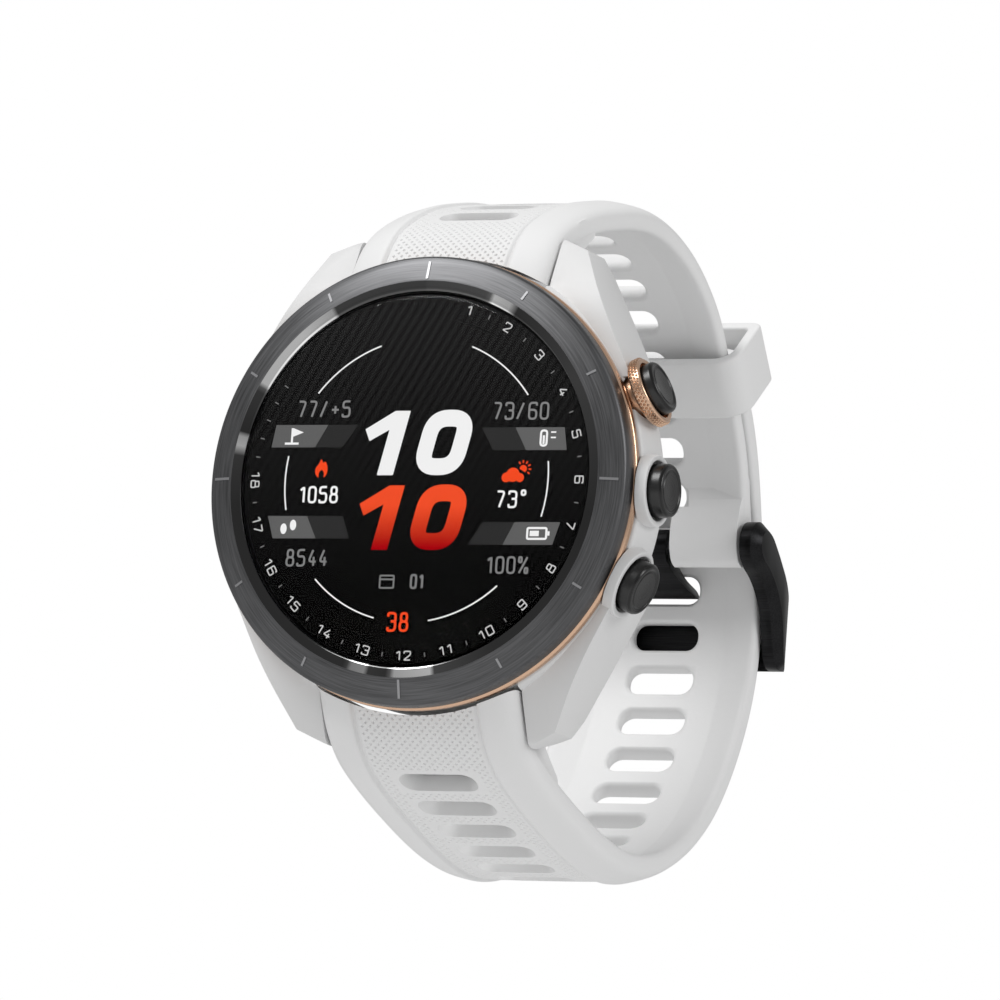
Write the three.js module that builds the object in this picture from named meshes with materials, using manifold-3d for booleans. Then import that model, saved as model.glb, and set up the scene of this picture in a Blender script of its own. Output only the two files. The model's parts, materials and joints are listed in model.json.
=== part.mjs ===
// Golf GPS watch with a silicone strap closed into a wrist loop.
// Millimetres. The watch axis is Y and the face looks along -Y. +Z is 12 o'clock, +X is 3 o'clock (the buttons).
// The origin is the centre of the flat rear sensor window, the surface that rests on the wrist.
import * as THREE from 'three';
import { mergeVertices } from 'three/addons/utils/BufferGeometryUtils.js';
import Module from 'manifold-3d';

const wasm = await Module();
wasm.setup();

// ---------------------------------------------------------------- driving dimensions
const GAP = 0.3;                 // clearance between neighbouring solids
const BEZEL_R = 21.0;            // widest radius of the bezel
const GLASS_Y = -12.4;           // front face of the glass
const DIAL_Y = -11.7;            // plane of the printed dial
const BEZEL_BACK_Y = -9.75;      // back of the bezel wall
const CASE_TOP_Y = -8.55;        // front rim of the case
const CASE_R = 21.7;             // widest radius of the case
const CASE_BORE_R = 18.1;        // inside radius of the case
const LEDGE_R = 14.4;            // opening in the rear ledge of the case
const COVER_R = 18.0;            // rear cover
const SCREW_PCD_R = 16.5;        // circle the four cover screws stand on
const STRAP_W = 20.0;            // strap width
const STRAP_T = 2.1;             // strap thickness along the loop
const POCKET_R = 20.85;          // wall of the case behind the strap ends
const STRAP_END_R = 21.4;        // concave end of each strap, following the bezel
const LUG_X = 10.25;             // inner face of each lug
const BAR_Y = -3.9;              // spring bars
const BAR_Z = 22.3;
const BUTTON_Y = -6.7;           // button axes
const BUTTON_ANGLES = { upper: 66.5, middle: 90.5, lower: 113.7 };   // degrees clockwise from 12 o'clock
const CAP_R = 2.5;               // button caps
const SWITCH_R = 13.15;          // switches behind the button shafts
const HINGE = [44.0, 3.0];       // buckle bar (y, z)
const MIN_EDGE = 0.006;           // vertices closer than this after the cuts are merged
const SLOT_W = 7.3;              // strap slots
const SLOT_H = 2.9;
const SLOT_PITCH = 4.93;         // along the crown
const LONG_SLOTS = 20;
const SHORT_SLOTS = 13;
const KEEPER = [39.05, 19.6];     // centre of the keeper (y, z)
const KEEPER_DIR = [0.63, -0.777];   // strap direction inside the keeper

// crown of each strap seen from the side, (y, z), from the lug round the wrist
const SHORT_PATH = [[-10.2, 18.4], [-9.1, 20.3], [-7.8, 22.6], [-5.7, 24.8], [-1.6, 27.1], [2.8, 28.8], [7.4, 30.0],
  [12.1, 31.0], [17.0, 31.5], [22.5, 31.0], [27.9, 29.4], [32.7, 26.8], [35.7, 24.3], [37.3, 22.3], [39.3, 19.8],
  [41.4, 17.2], [43.3, 14.4], [44.8, 11.4], [45.8, 8.0], [46.2, 5.2], [46.1, 3.2]];
const LONG_PATH = [[-10.2, -18.4], [-9.1, -20.2], [-7.3, -23.2], [-4.1, -26.0], [0.9, -28.2], [7.0, -30.2],
  [12.0, -31.6], [17.0, -32.6], [22.0, -33.0], [28.0, -32.2], [33.3, -30.4], [38.0, -27.9], [42.7, -24.0],
  [46.9, -18.4], [49.8, -12.2], [51.0, -6.2], [50.8, -0.8], [49.3, 6.4], [47.1, 12.9], [44.9, 16.9],
  [42.8, 19.5], [40.5, 22.2]];

// ---------------------------------------------------------------- helpers
const group = new THREE.Group();

function material(color, roughness, metalness, opacity = 1) {
  return new THREE.MeshStandardMaterial({ color, roughness, metalness, opacity, transparent: opacity < 1 });
}
const WHITE = () => material(0xdcdcdb, 0.55, 0);
const ROSE = () => material(0xc08e68, 0.3, 1);
const DARK = () => material(0x3a3a3c, 0.35, 1);
const BLACK = () => material(0x0c0c0d, 0.5, 0);
const STEEL = () => material(0xb4b6b9, 0.3, 1);

function toSolid(geometry) {
  let g = geometry.index ? geometry.toNonIndexed() : geometry.clone();
  for (const name of Object.keys(g.attributes)) if (name !== 'position') g.deleteAttribute(name);
  g = mergeVertices(g, 1e-4);
  return new wasm.Manifold(new wasm.Mesh({
    numProp: 3, vertProperties: new Float32Array(g.attributes.position.array), triVerts: new Uint32Array(g.index.array),
  }));
}

function toGeometry(solid) {
  const mesh = solid.getMesh();
  const g = new THREE.BufferGeometry();
  g.setAttribute('position', new THREE.BufferAttribute(new Float32Array(mesh.vertProperties), 3));
  g.setIndex(new THREE.BufferAttribute(new Uint32Array(mesh.triVerts), 1));
  return g;
}

// merges the near-coincident vertices that several cuts leave, and drops the triangles that close up
function welded(solid) {
  const g = mergeVertices(toGeometry(solid), MIN_EDGE), index = g.index.array, kept = [];
  for (let i = 0; i < index.length; i += 3) {
    const [a, b, c] = [index[i], index[i + 1], index[i + 2]];
    if (a !== b && b !== c && c !== a) kept.push(a, b, c);
  }
  g.setIndex(kept);
  return toSolid(g);
}

function add(name, shape, mat) {
  const geometry = shape.isBufferGeometry ? shape : toGeometry(shape);
  const mesh = new THREE.Mesh(geometry, mat);
  mesh.name = name;
  group.add(mesh);
  return mesh;
}

// a body turned about the watch axis from a closed (radius, y) profile
function turned(profile, segments = 48) {
  const pts = profile.map(([r, y]) => new THREE.Vector2(r, y));
  if (THREE.ShapeUtils.isClockWise(pts)) pts.reverse();
  if (profile[0][0] > 0) pts.push(pts[0].clone());
  return toSolid(new THREE.LatheGeometry(pts, segments));
}
const disc = (r, y0, y1, segments = 36) => turned([[0, y0], [r, y0], [r, y1], [0, y1]], segments);
const ring = (r0, r1, y0, y1, segments = 36) => turned([[r0, y0], [r1, y0], [r1, y1], [r0, y1]], segments);

function box(sx, sy, sz, x, y, z) {
  const g = new THREE.BoxGeometry(sx, sy, sz);
  g.translate(x, y, z);
  return toSolid(g);
}

// a cylinder from one point to another
function rod(r, from, to, segments = 16) {
  const a = new THREE.Vector3(...from), b = new THREE.Vector3(...to);
  const g = new THREE.CylinderGeometry(r, r, a.distanceTo(b), segments);
  g.applyQuaternion(new THREE.Quaternion().setFromUnitVectors(
    new THREE.Vector3(0, 1, 0), b.clone().sub(a).normalize()));
  g.translate((a.x + b.x) / 2, (a.y + b.y) / 2, (a.z + b.z) / 2);
  return toSolid(g);
}
const rodX = (r, x0, x1, y, z, segments = 14) => rod(r, [x0, y, z], [x1, y, z], segments);

function shapeOf(points) {
  return new THREE.Shape(points.map(([a, b]) => new THREE.Vector2(a, b)));
}

// a (y, z) outline extruded along X between x0 and x1, with an optional bevel
function plateX(outline, x0, x1, bevel = 0) {
  const g = new THREE.ExtrudeGeometry(shapeOf(outline), {
    depth: x1 - x0 - 2 * bevel, bevelEnabled: bevel > 0, bevelThickness: bevel, bevelSize: bevel,
    bevelOffset: -bevel, bevelSegments: 2,
  });
  const m = new THREE.Matrix4().makeBasis(
    new THREE.Vector3(0, 1, 0), new THREE.Vector3(0, 0, 1), new THREE.Vector3(1, 0, 0));
  g.applyMatrix4(m);
  g.translate(x0 + bevel, 0, 0);
  return toSolid(g);
}

// an (x, z) outline extruded along Y between y0 and y1
function plateY(outline, y0, y1) {
  const g = new THREE.ExtrudeGeometry(shapeOf(outline.map(([x, z]) => [x, -z])), { depth: y1 - y0, bevelEnabled: false });
  g.applyMatrix4(new THREE.Matrix4().makeRotationX(-Math.PI / 2));
  g.translate(0, y0, 0);
  return toSolid(g);
}

// an (x, y) outline extruded along Z between z0 and z1
function plateZ(outline, z0, z1) {
  const g = new THREE.ExtrudeGeometry(shapeOf(outline), { depth: z1 - z0, bevelEnabled: false });
  g.translate(0, 0, z0);
  return toSolid(g);
}

const mirrorZ = (points) => points.map(([a, b]) => [a, -b]).reverse();
const radial = (deg, r, y = BUTTON_Y) => {
  const a = THREE.MathUtils.degToRad(deg);
  return [r * Math.sin(a), y, r * Math.cos(a)];
};

// ---------------------------------------------------------------- case
function lugs(side) {
  const front = [[12, 9], [19.4, 10.2], [16.4, 16.2], [13.1, 22.5], [10.0, 23.9], [-10.0, 23.9], [-13.1, 22.5],
    [-16.4, 16.2], [-19.4, 10.2], [-12, 9]];
  const profile = [[-8.5, 9], [-8.5, 17.6], [-7.7, 19.8], [-5.2, 23.75], [-3.6, 23.9], [-2.0, 22.9], [-1.2, 20.8],
    [-1.2, 9]];
  const flip = (pts) => (side > 0 ? pts : mirrorZ(pts));
  return plateY(flip(front), -8.5, -1.2).intersect(plateX(flip(profile), -20, 20));
}

function makeCase() {
  let body = turned([[LEDGE_R, -4.2], [CASE_BORE_R, -4.2], [CASE_BORE_R, CASE_TOP_Y], [21.25, CASE_TOP_Y],
    [21.55, -7.3], [CASE_R, -6.2], [CASE_R, -4.9], [21.3, -3.4], [20.4, -1.7], [19.4, -0.85], [18.35, -0.85],
    [18.35, -1.9], [LEDGE_R, -1.9]], 40);
  const core = disc(20.0, CASE_TOP_Y - 1, 0, 40);
  for (const side of [1, -1]) {
    const pocket = box(2 * LUG_X, 12, 12, 0, -5, side * 22).subtract(disc(POCKET_R, -12, 2, 40));
    body = body.add(lugs(side).subtract(core)).subtract(pocket);
    body = body.subtract(rodX(0.55, -11.3, 11.3, BAR_Y, side * BAR_Z, 16));
  }
  // raised collars round the middle and lower buttons, and the three stem bores
  for (const key of ['middle', 'lower']) {
    const a = BUTTON_ANGLES[key];
    body = body.add(rod(3.3, radial(a, 19.5), radial(a, 22.2), 16).subtract(disc(21.45, -13, CASE_TOP_Y, 40)));
    body = body.subtract(rod(2.75, radial(a, 20.9), radial(a, 24), 16));
  }
  body = body.subtract(rod(2.3, radial(BUTTON_ANGLES.upper, 20.6), radial(BUTTON_ANGLES.upper, 24), 16));
  for (const a of Object.values(BUTTON_ANGLES)) {
    body = body.subtract(rod(0.85, radial(a, 16.5), radial(a, 24), 20));
  }
  for (let i = 0; i < 4; i++) {
    const a = Math.PI / 4 + i * Math.PI / 2, x = SCREW_PCD_R * Math.sin(a), z = SCREW_PCD_R * Math.cos(a);
    body = body.subtract(rod(0.75, [x, -3.9, z], [x, 0, z], 16));
  }
  // groove for the rear seal
  body = body.subtract(ring(14.75, 15.45, -2.35, -1.0, 48));
  return body;
}
add('case_middle', makeCase(), WHITE());

// ---------------------------------------------------------------- front stack
add('bezel', turned([[16.1, -10.9], [17.5, -10.9], [17.5, -12.25], [17.65, -12.42], [18.5, -12.45], [19.0, -12.38],
  [20.4, -11.9], [20.85, -11.68], [BEZEL_R, -11.4], [BEZEL_R, BEZEL_BACK_Y], [19.35, BEZEL_BACK_Y], [19.35, -9.0],
  [17.95, -9.0], [17.95, -10.25], [16.1, -10.25]], 40), DARK());
add('bezel_accent_ring', turned([[19.65, -9.7], [20.9, -9.7], [21.15, -9.5], [21.15, -8.85], [19.65, -8.85]], 40), ROSE());
add('lens', turned([[0, GLASS_Y], [16.9, GLASS_Y], [17.2, GLASS_Y + 0.2], [17.2, DIAL_Y - 0.05], [0, DIAL_Y - 0.05]],
  40), material(0x0a0a0c, 0.05, 0, 0.35));
add('dial_number_ring', ring(15.4, 17.2, DIAL_Y, DIAL_Y + 0.4, 36), BLACK());
add('lens_gasket', ring(16.4, 17.2, -11.27, -10.95), BLACK());
add('display_module', disc(15.1, DIAL_Y, -10.6), material(0x101012, 0.3, 0));
add('antenna_ring', ring(16.3, 17.7, -10.2, -9.3), material(0xb88a4a, 0.4, 1));

// ---------------------------------------------------------------- electronics
add('main_board', disc(15.4, -10.2, -9.4).subtract(box(4, 3, 6, 15.2, -10, 0)), material(0x1d4a2c, 0.6, 0));
add('battery', toSolid(new THREE.CylinderGeometry(11.6, 11.6, 3.6, 40).translate(-4.0, -7.1, 0)),
  material(0x8f9499, 0.4, 0.6));
add('vibration_motor', toSolid(new THREE.CylinderGeometry(2.7, 2.7, 2.7, 24).translate(8.8, -7.2, -9.4)), STEEL());
let chassis = ring(16.0, 17.8, -8.9, -4.5).subtract(box(14, 12, 24, 17.5, -7, 0));
chassis = chassis.add(ring(12.0, 16.4, -4.95, -4.5).subtract(box(14, 12, 24, 17.5, -7, 0)));
add('inner_chassis', chassis, material(0x2a2b2d, 0.6, 0));
for (const [key, a] of Object.entries(BUTTON_ANGLES)) {
  const g = new THREE.BoxGeometry(2.6, 3.0, 1.2);
  g.rotateY(Math.PI / 2 + THREE.MathUtils.degToRad(a - 90));
  g.rotateY(-2 * THREE.MathUtils.degToRad(a - 90));
  const m = add(`switch_${key}`, toSolid(g), BLACK());
  m.position.set(...radial(a, SWITCH_R));
}
add('sensor_board', disc(8.2, -4.0, -3.2, 40), material(0x1d4a2c, 0.6, 0));

// ---------------------------------------------------------------- back
const port = { x: 7.6, z: 3.0, at: -10.6 };
let cover = turned([[6.7, -1.6], [COVER_R, -1.6], [COVER_R, -0.75], [17.6, -0.45], [6.7, -0.45]], 36);
cover = cover.subtract(box(port.x, 4, port.z, 0, -1, port.at));
for (let i = 0; i < 4; i++) {
  const a = Math.PI / 4 + i * Math.PI / 2, x = SCREW_PCD_R * Math.sin(a), z = SCREW_PCD_R * Math.cos(a);
  cover = cover.subtract(rod(0.9, [x, -3, z], [x, 0, z], 16)).subtract(rod(1.3, [x, -1.15, z], [x, 0, z], 16));
  const head = rod(1.1, [x, -1.1, z], [x, -0.5, z], 16).add(rod(0.6, [x, -3.6, z], [x, -1.0, z], 12));
  const slot = rod(0.45, [x, -0.85, z], [x, 0, z], 6);
  add(`cover_screw_${i + 1}`, head.subtract(slot), STEEL());
}
add('rear_cover', cover, DARK());
add('rear_seal', toSolid(new THREE.TorusGeometry(15.1, 0.28, 5, 30).rotateX(Math.PI / 2).translate(0, -2.02, 0)), BLACK());
add('rear_sensor_window', turned([[0, -2.9], [7.4, -2.9], [7.4, -1.95], [6.4, -1.95], [6.4, -0.25], [6.15, 0], [0, 0]],
  32), material(0x101216, 0.06, 0));
let pins = box(port.x - 0.6, 1.9, port.z - 0.6, 0, -1.85, port.at).add(box(port.x + 1.2, 0.7, port.z + 1.2, 0, -2.35, port.at));
for (let i = 0; i < 4; i++) {
  const x = (i - 1.5) * 1.75;
  pins = pins.add(rod(0.55, [x, -1.5, port.at], [x, -0.55, port.at], 16));
}
add('charge_contact_block', pins, material(0xc9a765, 0.3, 0.8));

// ---------------------------------------------------------------- buttons
{
  const a = BUTTON_ANGLES.upper;
  let collar = rod(3.25, radial(a, 22.1), radial(a, 22.9), 20).add(rod(2.0, radial(a, 20.95), radial(a, 22.5), 16));
  collar = collar.add(rod(3.0, radial(a, 21.9), radial(a, 23.1), 20));
  collar = collar.subtract(rod(2.75, radial(a, 22.2), radial(a, 24), 20));   // seat that the cap sinks into
  collar = collar.subtract(rod(0.85, radial(a, 20), radial(a, 24), 20));
  add('button_collar_upper', collar, ROSE());
}
for (const [key, a] of Object.entries(BUTTON_ANGLES)) {
  const capIn = key === 'upper' ? 22.85 : 21.9;        // inner face of the cap, above its stroke
  const capOut = key === 'upper' ? 24.05 : 23.5;
  let cap = rod(CAP_R - 0.2, radial(a, capIn), radial(a, capOut), 20)
    .add(rod(CAP_R, radial(a, capIn), radial(a, capOut - 0.25), 20));
  cap = cap.add(rod(0.7, radial(a, 15.2), radial(a, capIn + 0.2), 10));
  // groove for the seal and groove for the clip
  const groove = (r0, r1, r) => rod(1.2, radial(a, r0), radial(a, r1), 10)
    .subtract(rod(r, radial(a, r0 - 1), radial(a, r1 + 1), 10));
  cap = cap.subtract(groove(19.2, 19.9, 0.45)).subtract(groove(16.6, 17.2, 0.45));
  add(`button_${key}`, cap, DARK());
  const lie = new THREE.Quaternion().setFromUnitVectors(new THREE.Vector3(0, 0, 1), new THREE.Vector3(...radial(a, 1, 0)));
  const seal = new THREE.TorusGeometry(0.66, 0.12, 5, 12).applyQuaternion(lie);
  add(`button_seal_${key}`, toSolid(seal), BLACK()).position.set(...radial(a, 19.55));
  const clip = rod(1.5, radial(a, 16.75), radial(a, 17.05), 12).subtract(rod(0.54, radial(a, 16.5), radial(a, 17.3), 12));
  add(`button_clip_${key}`, clip, STEEL());
}

// ---------------------------------------------------------------- straps
function pathCurve(points) {
  return new THREE.CatmullRomCurve3(points.map(([y, z]) => new THREE.Vector3(0, y, z)), false, 'centripetal');
}

// cross-section across the strap: x from edge to edge, t inwards from the outer surface
const HALF_SECTION = [[0, 0.2], [6.2, 0.25], [6.4, 0.0], [8.2, 0.35], [9.6, 0.85], [10, 1.25],
  [10, 2.55], [9.5, 2.95], [6.4, STRAP_T], [0, STRAP_T]];

function sweepStrap(points, inward, steps) {
  const half = HALF_SECTION.map(([x, t]) => [x, t * inward]);
  const outline = [...half, ...half.slice(1, -1).map(([x, t]) => [-x, t]).reverse()];
  const g = new THREE.ExtrudeGeometry(shapeOf(outline), { steps, extrudePath: pathCurve(points) });
  return toSolid(g);
}

// frame of the outer surface at a fraction along the path: point, direction and outward normal in (y, z)
function pathFrame(points, s, side) {
  const curve = pathCurve(points);
  const p = curve.getPointAt(s), d = curve.getTangentAt(s);
  return { y: p.y, z: p.z, dy: d.y, dz: d.z, ny: -d.z * side, nz: d.y * side };
}

// a stadium-shaped slot across the strap, cut square to the surface
function slotCutter(f) {
  const r = 1.2, hw = SLOT_W / 2 - r, hh = SLOT_H / 2 - r;
  const shape = new THREE.Shape();
  shape.absarc(hw, hh, r, 0, Math.PI / 2, false);
  shape.absarc(-hw, hh, r, Math.PI / 2, Math.PI, false);
  shape.absarc(-hw, -hh, r, Math.PI, 1.5 * Math.PI, false);
  shape.absarc(hw, -hh, r, 1.5 * Math.PI, 2 * Math.PI, false);
  const g = new THREE.ExtrudeGeometry(shape, { depth: 7, bevelEnabled: false, curveSegments: 1 });
  const x = new THREE.Vector3(1, 0, 0), along = new THREE.Vector3(0, f.dy, f.dz);
  g.translate(0, 0, -4.5);
  g.applyMatrix4(new THREE.Matrix4().makeBasis(x, along, new THREE.Vector3().crossVectors(x, along)));
  g.translate(0, f.y, f.z);
  return toSolid(g);
}

function nearestFraction(points, y, z) {
  const curve = pathCurve(points);
  let best = 0, bestD = Infinity;
  for (let i = 0; i <= 1000; i++) {
    const p = curve.getPointAt(i / 1000), d = Math.hypot(p.y - y, p.z - z);
    if (d < bestD) { bestD = d; best = i / 1000; }
  }
  return best;
}

// block round the spring bar that thickens each strap between the lugs
function strapHead(side) {
  const outline = [[-8.2, 18.0], [-6.6, 20.8], [-5.0, 23.3], [-3.2, 25.0], [-0.1, 26.6], [3.0, 27.6], [3.2, 25.6],
    [1.2, 24.2], [-0.4, 22.9], [-1.7, 21.6], [-2.2, 20.0], [-3.2, 18.2]];
  const pts = side > 0 ? outline : mirrorZ(outline);
  const head = plateX(pts, -9.65, 9.65, 0.25);
  return head.subtract(disc(STRAP_END_R, -14, 4, 40));
}

function strapBody(points, side, steps) {
  const sweep = sweepStrap(points, side > 0 ? -1 : 1, steps).subtract(disc(STRAP_END_R, -14, 4, 40));
  const bored = sweep.add(strapHead(side)).subtract(rodX(1.15, -12, 12, BAR_Y, side * BAR_Z, 16));
  // opening on the wrist side for the quick-release lever
  return bored.subtract(box(5.4, 6, 1.9, -6.2, BAR_Y + 3, side * BAR_Z));
}

// short strap: barrel for the buckle bar, notch for the tang
let short = strapBody(SHORT_PATH, 1, 24);
short = short.add(plateX([[42.9, 8.2], [45.0, 7.6], [46.1, 4.2], [45.7, 2.0], [44.2, 1.0], [42.8, 1.5], [42.1, 2.9],
  [42.2, 4.6], [42.5, 6.4]], -9.8, 9.8, 0.3));
short = short.subtract(box(5.4, 12, 10, 0, HINGE[0], 1.4)).subtract(rodX(0.85, -12, 12, ...HINGE, 20));
// long strap
let long = strapBody(LONG_PATH, -1, 30);
function cutSlots(body, points, side, first, count) {
  const start = nearestFraction(points, ...first), length = pathCurve(points).getLength();
  for (let i = 0; i < count; i++) body = body.subtract(slotCutter(pathFrame(points, start + i * SLOT_PITCH / length, side)));
  return body;
}
short = cutSlots(short, SHORT_PATH, 1, [-1.9, 27.0], SHORT_SLOTS);
long = cutSlots(long, LONG_PATH, -1, [-2.0, -27.0], LONG_SLOTS);
add('strap_buckle_side', welded(short), WHITE());
add('strap_hole_side', welded(long), WHITE());

// keeper: a loop round both straps
{
  const [dy, dz] = KEEPER_DIR, len = 6.2, hx = 11.8, ht = 4.2, wall = 1.1;
  // rounded rectangle with one radius on the wrist side and another on the outer side
  const loop = (target, w, h, rIn, rOut) => {
    target.absarc(w - rIn, h - rIn, rIn, 0, Math.PI / 2, false);
    target.absarc(-w + rIn, h - rIn, rIn, Math.PI / 2, Math.PI, false);
    target.absarc(-w + rOut, -h + rOut, rOut, Math.PI, 1.5 * Math.PI, false);
    target.absarc(w - rOut, -h + rOut, rOut, 1.5 * Math.PI, 2 * Math.PI, false);
    return target;
  };
  const outer = loop(new THREE.Shape(), hx, ht, 2.6, 0.9);
  outer.holes.push(loop(new THREE.Path(), hx - wall, ht - wall, 1.6, 0.5));
  const g = new THREE.ExtrudeGeometry(outer, { depth: len, bevelEnabled: false, curveSegments: 3 });
  g.translate(0, 0, -len / 2);
  const x = new THREE.Vector3(1, 0, 0), along = new THREE.Vector3(0, dy, dz).normalize();
  g.applyMatrix4(new THREE.Matrix4().makeBasis(x, new THREE.Vector3().crossVectors(along, x), along));
  g.translate(0, ...KEEPER);
  add('keeper_loop', toSolid(g), WHITE());
}

// spring bars, each a tube with one fixed tip, and the sliding release pin with its lever
for (const [key, side] of [['upper', 1], ['lower', -1]]) {
  const y = BAR_Y, z = side * BAR_Z;
  let bar = rodX(0.9, -9.2, 9.6, y, z, 16).add(rodX(0.45, 9, 11.0, y, z, 16));
  bar = bar.subtract(rodX(0.55, -10, -2, y, z, 16)).subtract(box(4.6, 2, 0.9, -6.2, y + 1, z));
  add(`spring_bar_${key}`, bar, STEEL());
  const pin = rodX(0.45, -11.0, -4.6, y, z, 20).add(box(0.9, 1.9, 0.6, -7.6, y + 0.95, z))
    .add(box(1.5, 0.5, 1.2, -7.6, y + 2.1, z));
  add(`release_pin_${key}`, pin, STEEL());
}

// ---------------------------------------------------------------- buckle
add('buckle_bar', rodX(0.75, -12.2, 12.2, ...HINGE, 20), STEEL());
{
  const [hy, hz] = HINGE;
  const arm = [[-2.6, 0], [-2.3, 1.3], [-1.3, 2.2], [0, 2.5], [1.6, 2.0], [3.4, 0.6], [5.7, -1.5], [7.7, -3.8],
    [9.2, -6.4], [9.9, -8.4], [9.8, -10.0], [8.8, -11.0], [7.4, -11.2], [6.2, -11.1], [5.2, -10.0], [4.6, -8.2],
    [3.8, -6.0], [2.4, -4.2], [0.6, -2.9], [-1.2, -2.2], [-2.2, -1.3]].map(([y, z]) => [hy + y, hz + z]).reverse();
  // outline from above, with the two outer corners cut back
  const plan = [[-12.4, hy - 6], [12.4, hy - 6], [12.4, hy + 6.5], [10.6, hy + 10], [-10.6, hy + 10], [-12.4, hy + 6.5]];
  let frame = plateX(arm, -12.4, 12.4, 0.5).intersect(plateZ(plan, -20, 20));
  // clear the two straps, leaving the cross-bar outside the long one
  frame = frame.subtract(box(20.7, 20, 40, 0, hy + 7.35 - 10, hz)).subtract(box(20.7, 30, 20, 0, hy, hz - 5.9 + 10));
  frame = frame.subtract(rodX(0.85, -13, 13, hy, hz, 20).subtract(box(0.8, 6, 6, 12.8, hy, hz))
    .subtract(box(0.8, 6, 6, -12.8, hy, hz)));
  add('buckle_frame', frame, DARK());
}
{
  const [hy, hz] = HINGE;
  const blade = [[-1.7, 0.4], [-1.2, 1.4], [0, 1.8], [1.3, 1.3], [1.75, 0], [2.4, -1.6], [4.1, -2.9], [5.4, -3.45],
    [5.4, -4.0], [4.7, -4.15], [2.9, -3.65], [0.8, -2.6], [-1.0, -1.4]].map(([y, z]) => [hy + y, hz + z]).reverse();
  const flat = plateX(blade, -3.3, 3.3, 0);
  // plan shape of the tang: waisted at the top and flared where it enters the slot
  const plan = [[-2.3, 6], [-2.3, 1.5], [-2.0, -1.2], [-2.2, -2.4], [-3.2, -4.2], [-3.2, -7], [3.2, -7], [3.2, -4.2],
    [2.2, -2.4], [2.0, -1.2], [2.3, 1.5], [2.3, 6]].map(([x, z]) => [x, hz + z]);
  const tang = flat.intersect(plateY(plan, hy - 10, hy + 14)).subtract(rodX(0.83, -6, 6, hy, hz, 20));
  add('buckle_tang', tang, DARK());
}

export default group;
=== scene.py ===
# %% [markdown]
# # A golf watch, built on a fixed frame
#
# The measured model is loaded first and stays as it is. Each cell below swaps one of its plain
# solids for a finer shape, or gives it a better finish. Lengths are written in millimetres, as a
# watchmaker would, and turned into Blender's metres in one place.

# %% Load the frame
import json
import math
import time

import bmesh
import bpy
import numpy as np
from mathutils import Matrix, Vector

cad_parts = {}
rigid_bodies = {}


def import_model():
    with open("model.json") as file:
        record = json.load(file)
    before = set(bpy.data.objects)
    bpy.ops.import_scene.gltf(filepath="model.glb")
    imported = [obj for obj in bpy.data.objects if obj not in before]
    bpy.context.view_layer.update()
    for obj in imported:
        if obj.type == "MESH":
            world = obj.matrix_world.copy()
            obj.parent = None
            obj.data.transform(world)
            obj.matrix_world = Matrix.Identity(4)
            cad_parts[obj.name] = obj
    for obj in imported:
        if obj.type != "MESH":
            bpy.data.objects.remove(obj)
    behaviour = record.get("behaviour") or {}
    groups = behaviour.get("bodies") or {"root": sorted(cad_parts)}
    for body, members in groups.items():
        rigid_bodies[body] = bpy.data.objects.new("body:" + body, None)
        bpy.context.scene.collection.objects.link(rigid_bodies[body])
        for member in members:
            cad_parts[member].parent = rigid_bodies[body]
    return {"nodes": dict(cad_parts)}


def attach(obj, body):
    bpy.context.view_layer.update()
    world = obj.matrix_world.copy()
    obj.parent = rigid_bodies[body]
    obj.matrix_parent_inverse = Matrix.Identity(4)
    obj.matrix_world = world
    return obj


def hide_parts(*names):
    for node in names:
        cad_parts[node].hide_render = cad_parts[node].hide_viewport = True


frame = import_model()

STARTED = time.time()
MM = 0.001
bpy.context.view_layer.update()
NODES = frame["nodes"]

# %% [markdown]
# ## Shared sizes
#
# The watch axis is Y and the face looks along -Y. +Z is 12 o'clock and +X is 3 o'clock. The sizes
# repeat the ones that drive the measured model, so every new piece lands where its solid was.

# %% Sizes, in millimetres
DIAL_Y = -11.7
CASE_TOP_Y = -8.55
BUTTON_Y = -6.7
BUTTON_ANGLES = {"upper": 66.5, "middle": 90.5, "lower": 113.7}
BAR_Y, BAR_Z = -3.9, 22.3
SCREW_CIRCLE_R = 16.5
STEM_R, STEM_BORE_R = 0.7, 0.85
COLLAR_SEAT_R = 2.75
LUG_X = 10.25
POCKET_R = 20.85
STRAP_END_R = 21.4
BAND_X = 9.8
BAR_BORE_R = 1.15
BAND_CREASE = 50
HINGE = (44.0, 3.0)
HINGE_BORE_R, TANG_BORE_R = 0.85, 0.83
BUCKLE_X = 12.4
TANG_X = 3.3
SLOT_PITCH = 4.93
KEEPER = (39.05, 19.6)
KEEPER_DIR = (0.63, -0.777)

SHORT_PATH = [
    (-10.2, 18.4), (-9.1, 20.3), (-7.8, 22.6), (-5.7, 24.8), (-1.6, 27.1), (2.8, 28.8), (7.4, 30.0),
    (12.1, 31.0), (17.0, 31.5), (22.5, 31.0), (27.9, 29.4), (32.7, 26.8), (35.7, 24.3), (37.3, 22.3),
    (39.3, 19.8), (41.4, 17.2), (43.3, 14.4), (44.8, 11.4), (45.8, 8.0), (46.2, 5.2), (46.1, 3.2)]
LONG_PATH = [
    (-10.2, -18.4), (-9.1, -20.2), (-7.3, -23.2), (-4.1, -26.0), (0.9, -28.2), (7.0, -30.2),
    (12.0, -31.6), (17.0, -32.6), (22.0, -33.0), (28.0, -32.2), (33.3, -30.4), (38.0, -27.9),
    (42.7, -24.0), (46.9, -18.4), (49.8, -12.2), (51.0, -6.2), (50.8, -0.8), (49.3, 6.4), (47.1, 12.9),
    (44.9, 16.9), (42.8, 19.5), (40.5, 22.2)]

# %% [markdown]
# ## Small tools for meshes
#
# Most of a watch is turned on a lathe, extruded, or drilled. Three helpers cover that: a lathe, a
# prism and a boolean. The boolean is applied at once, so each finished piece is one plain mesh.

# %% Make, settle and shade a mesh


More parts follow.
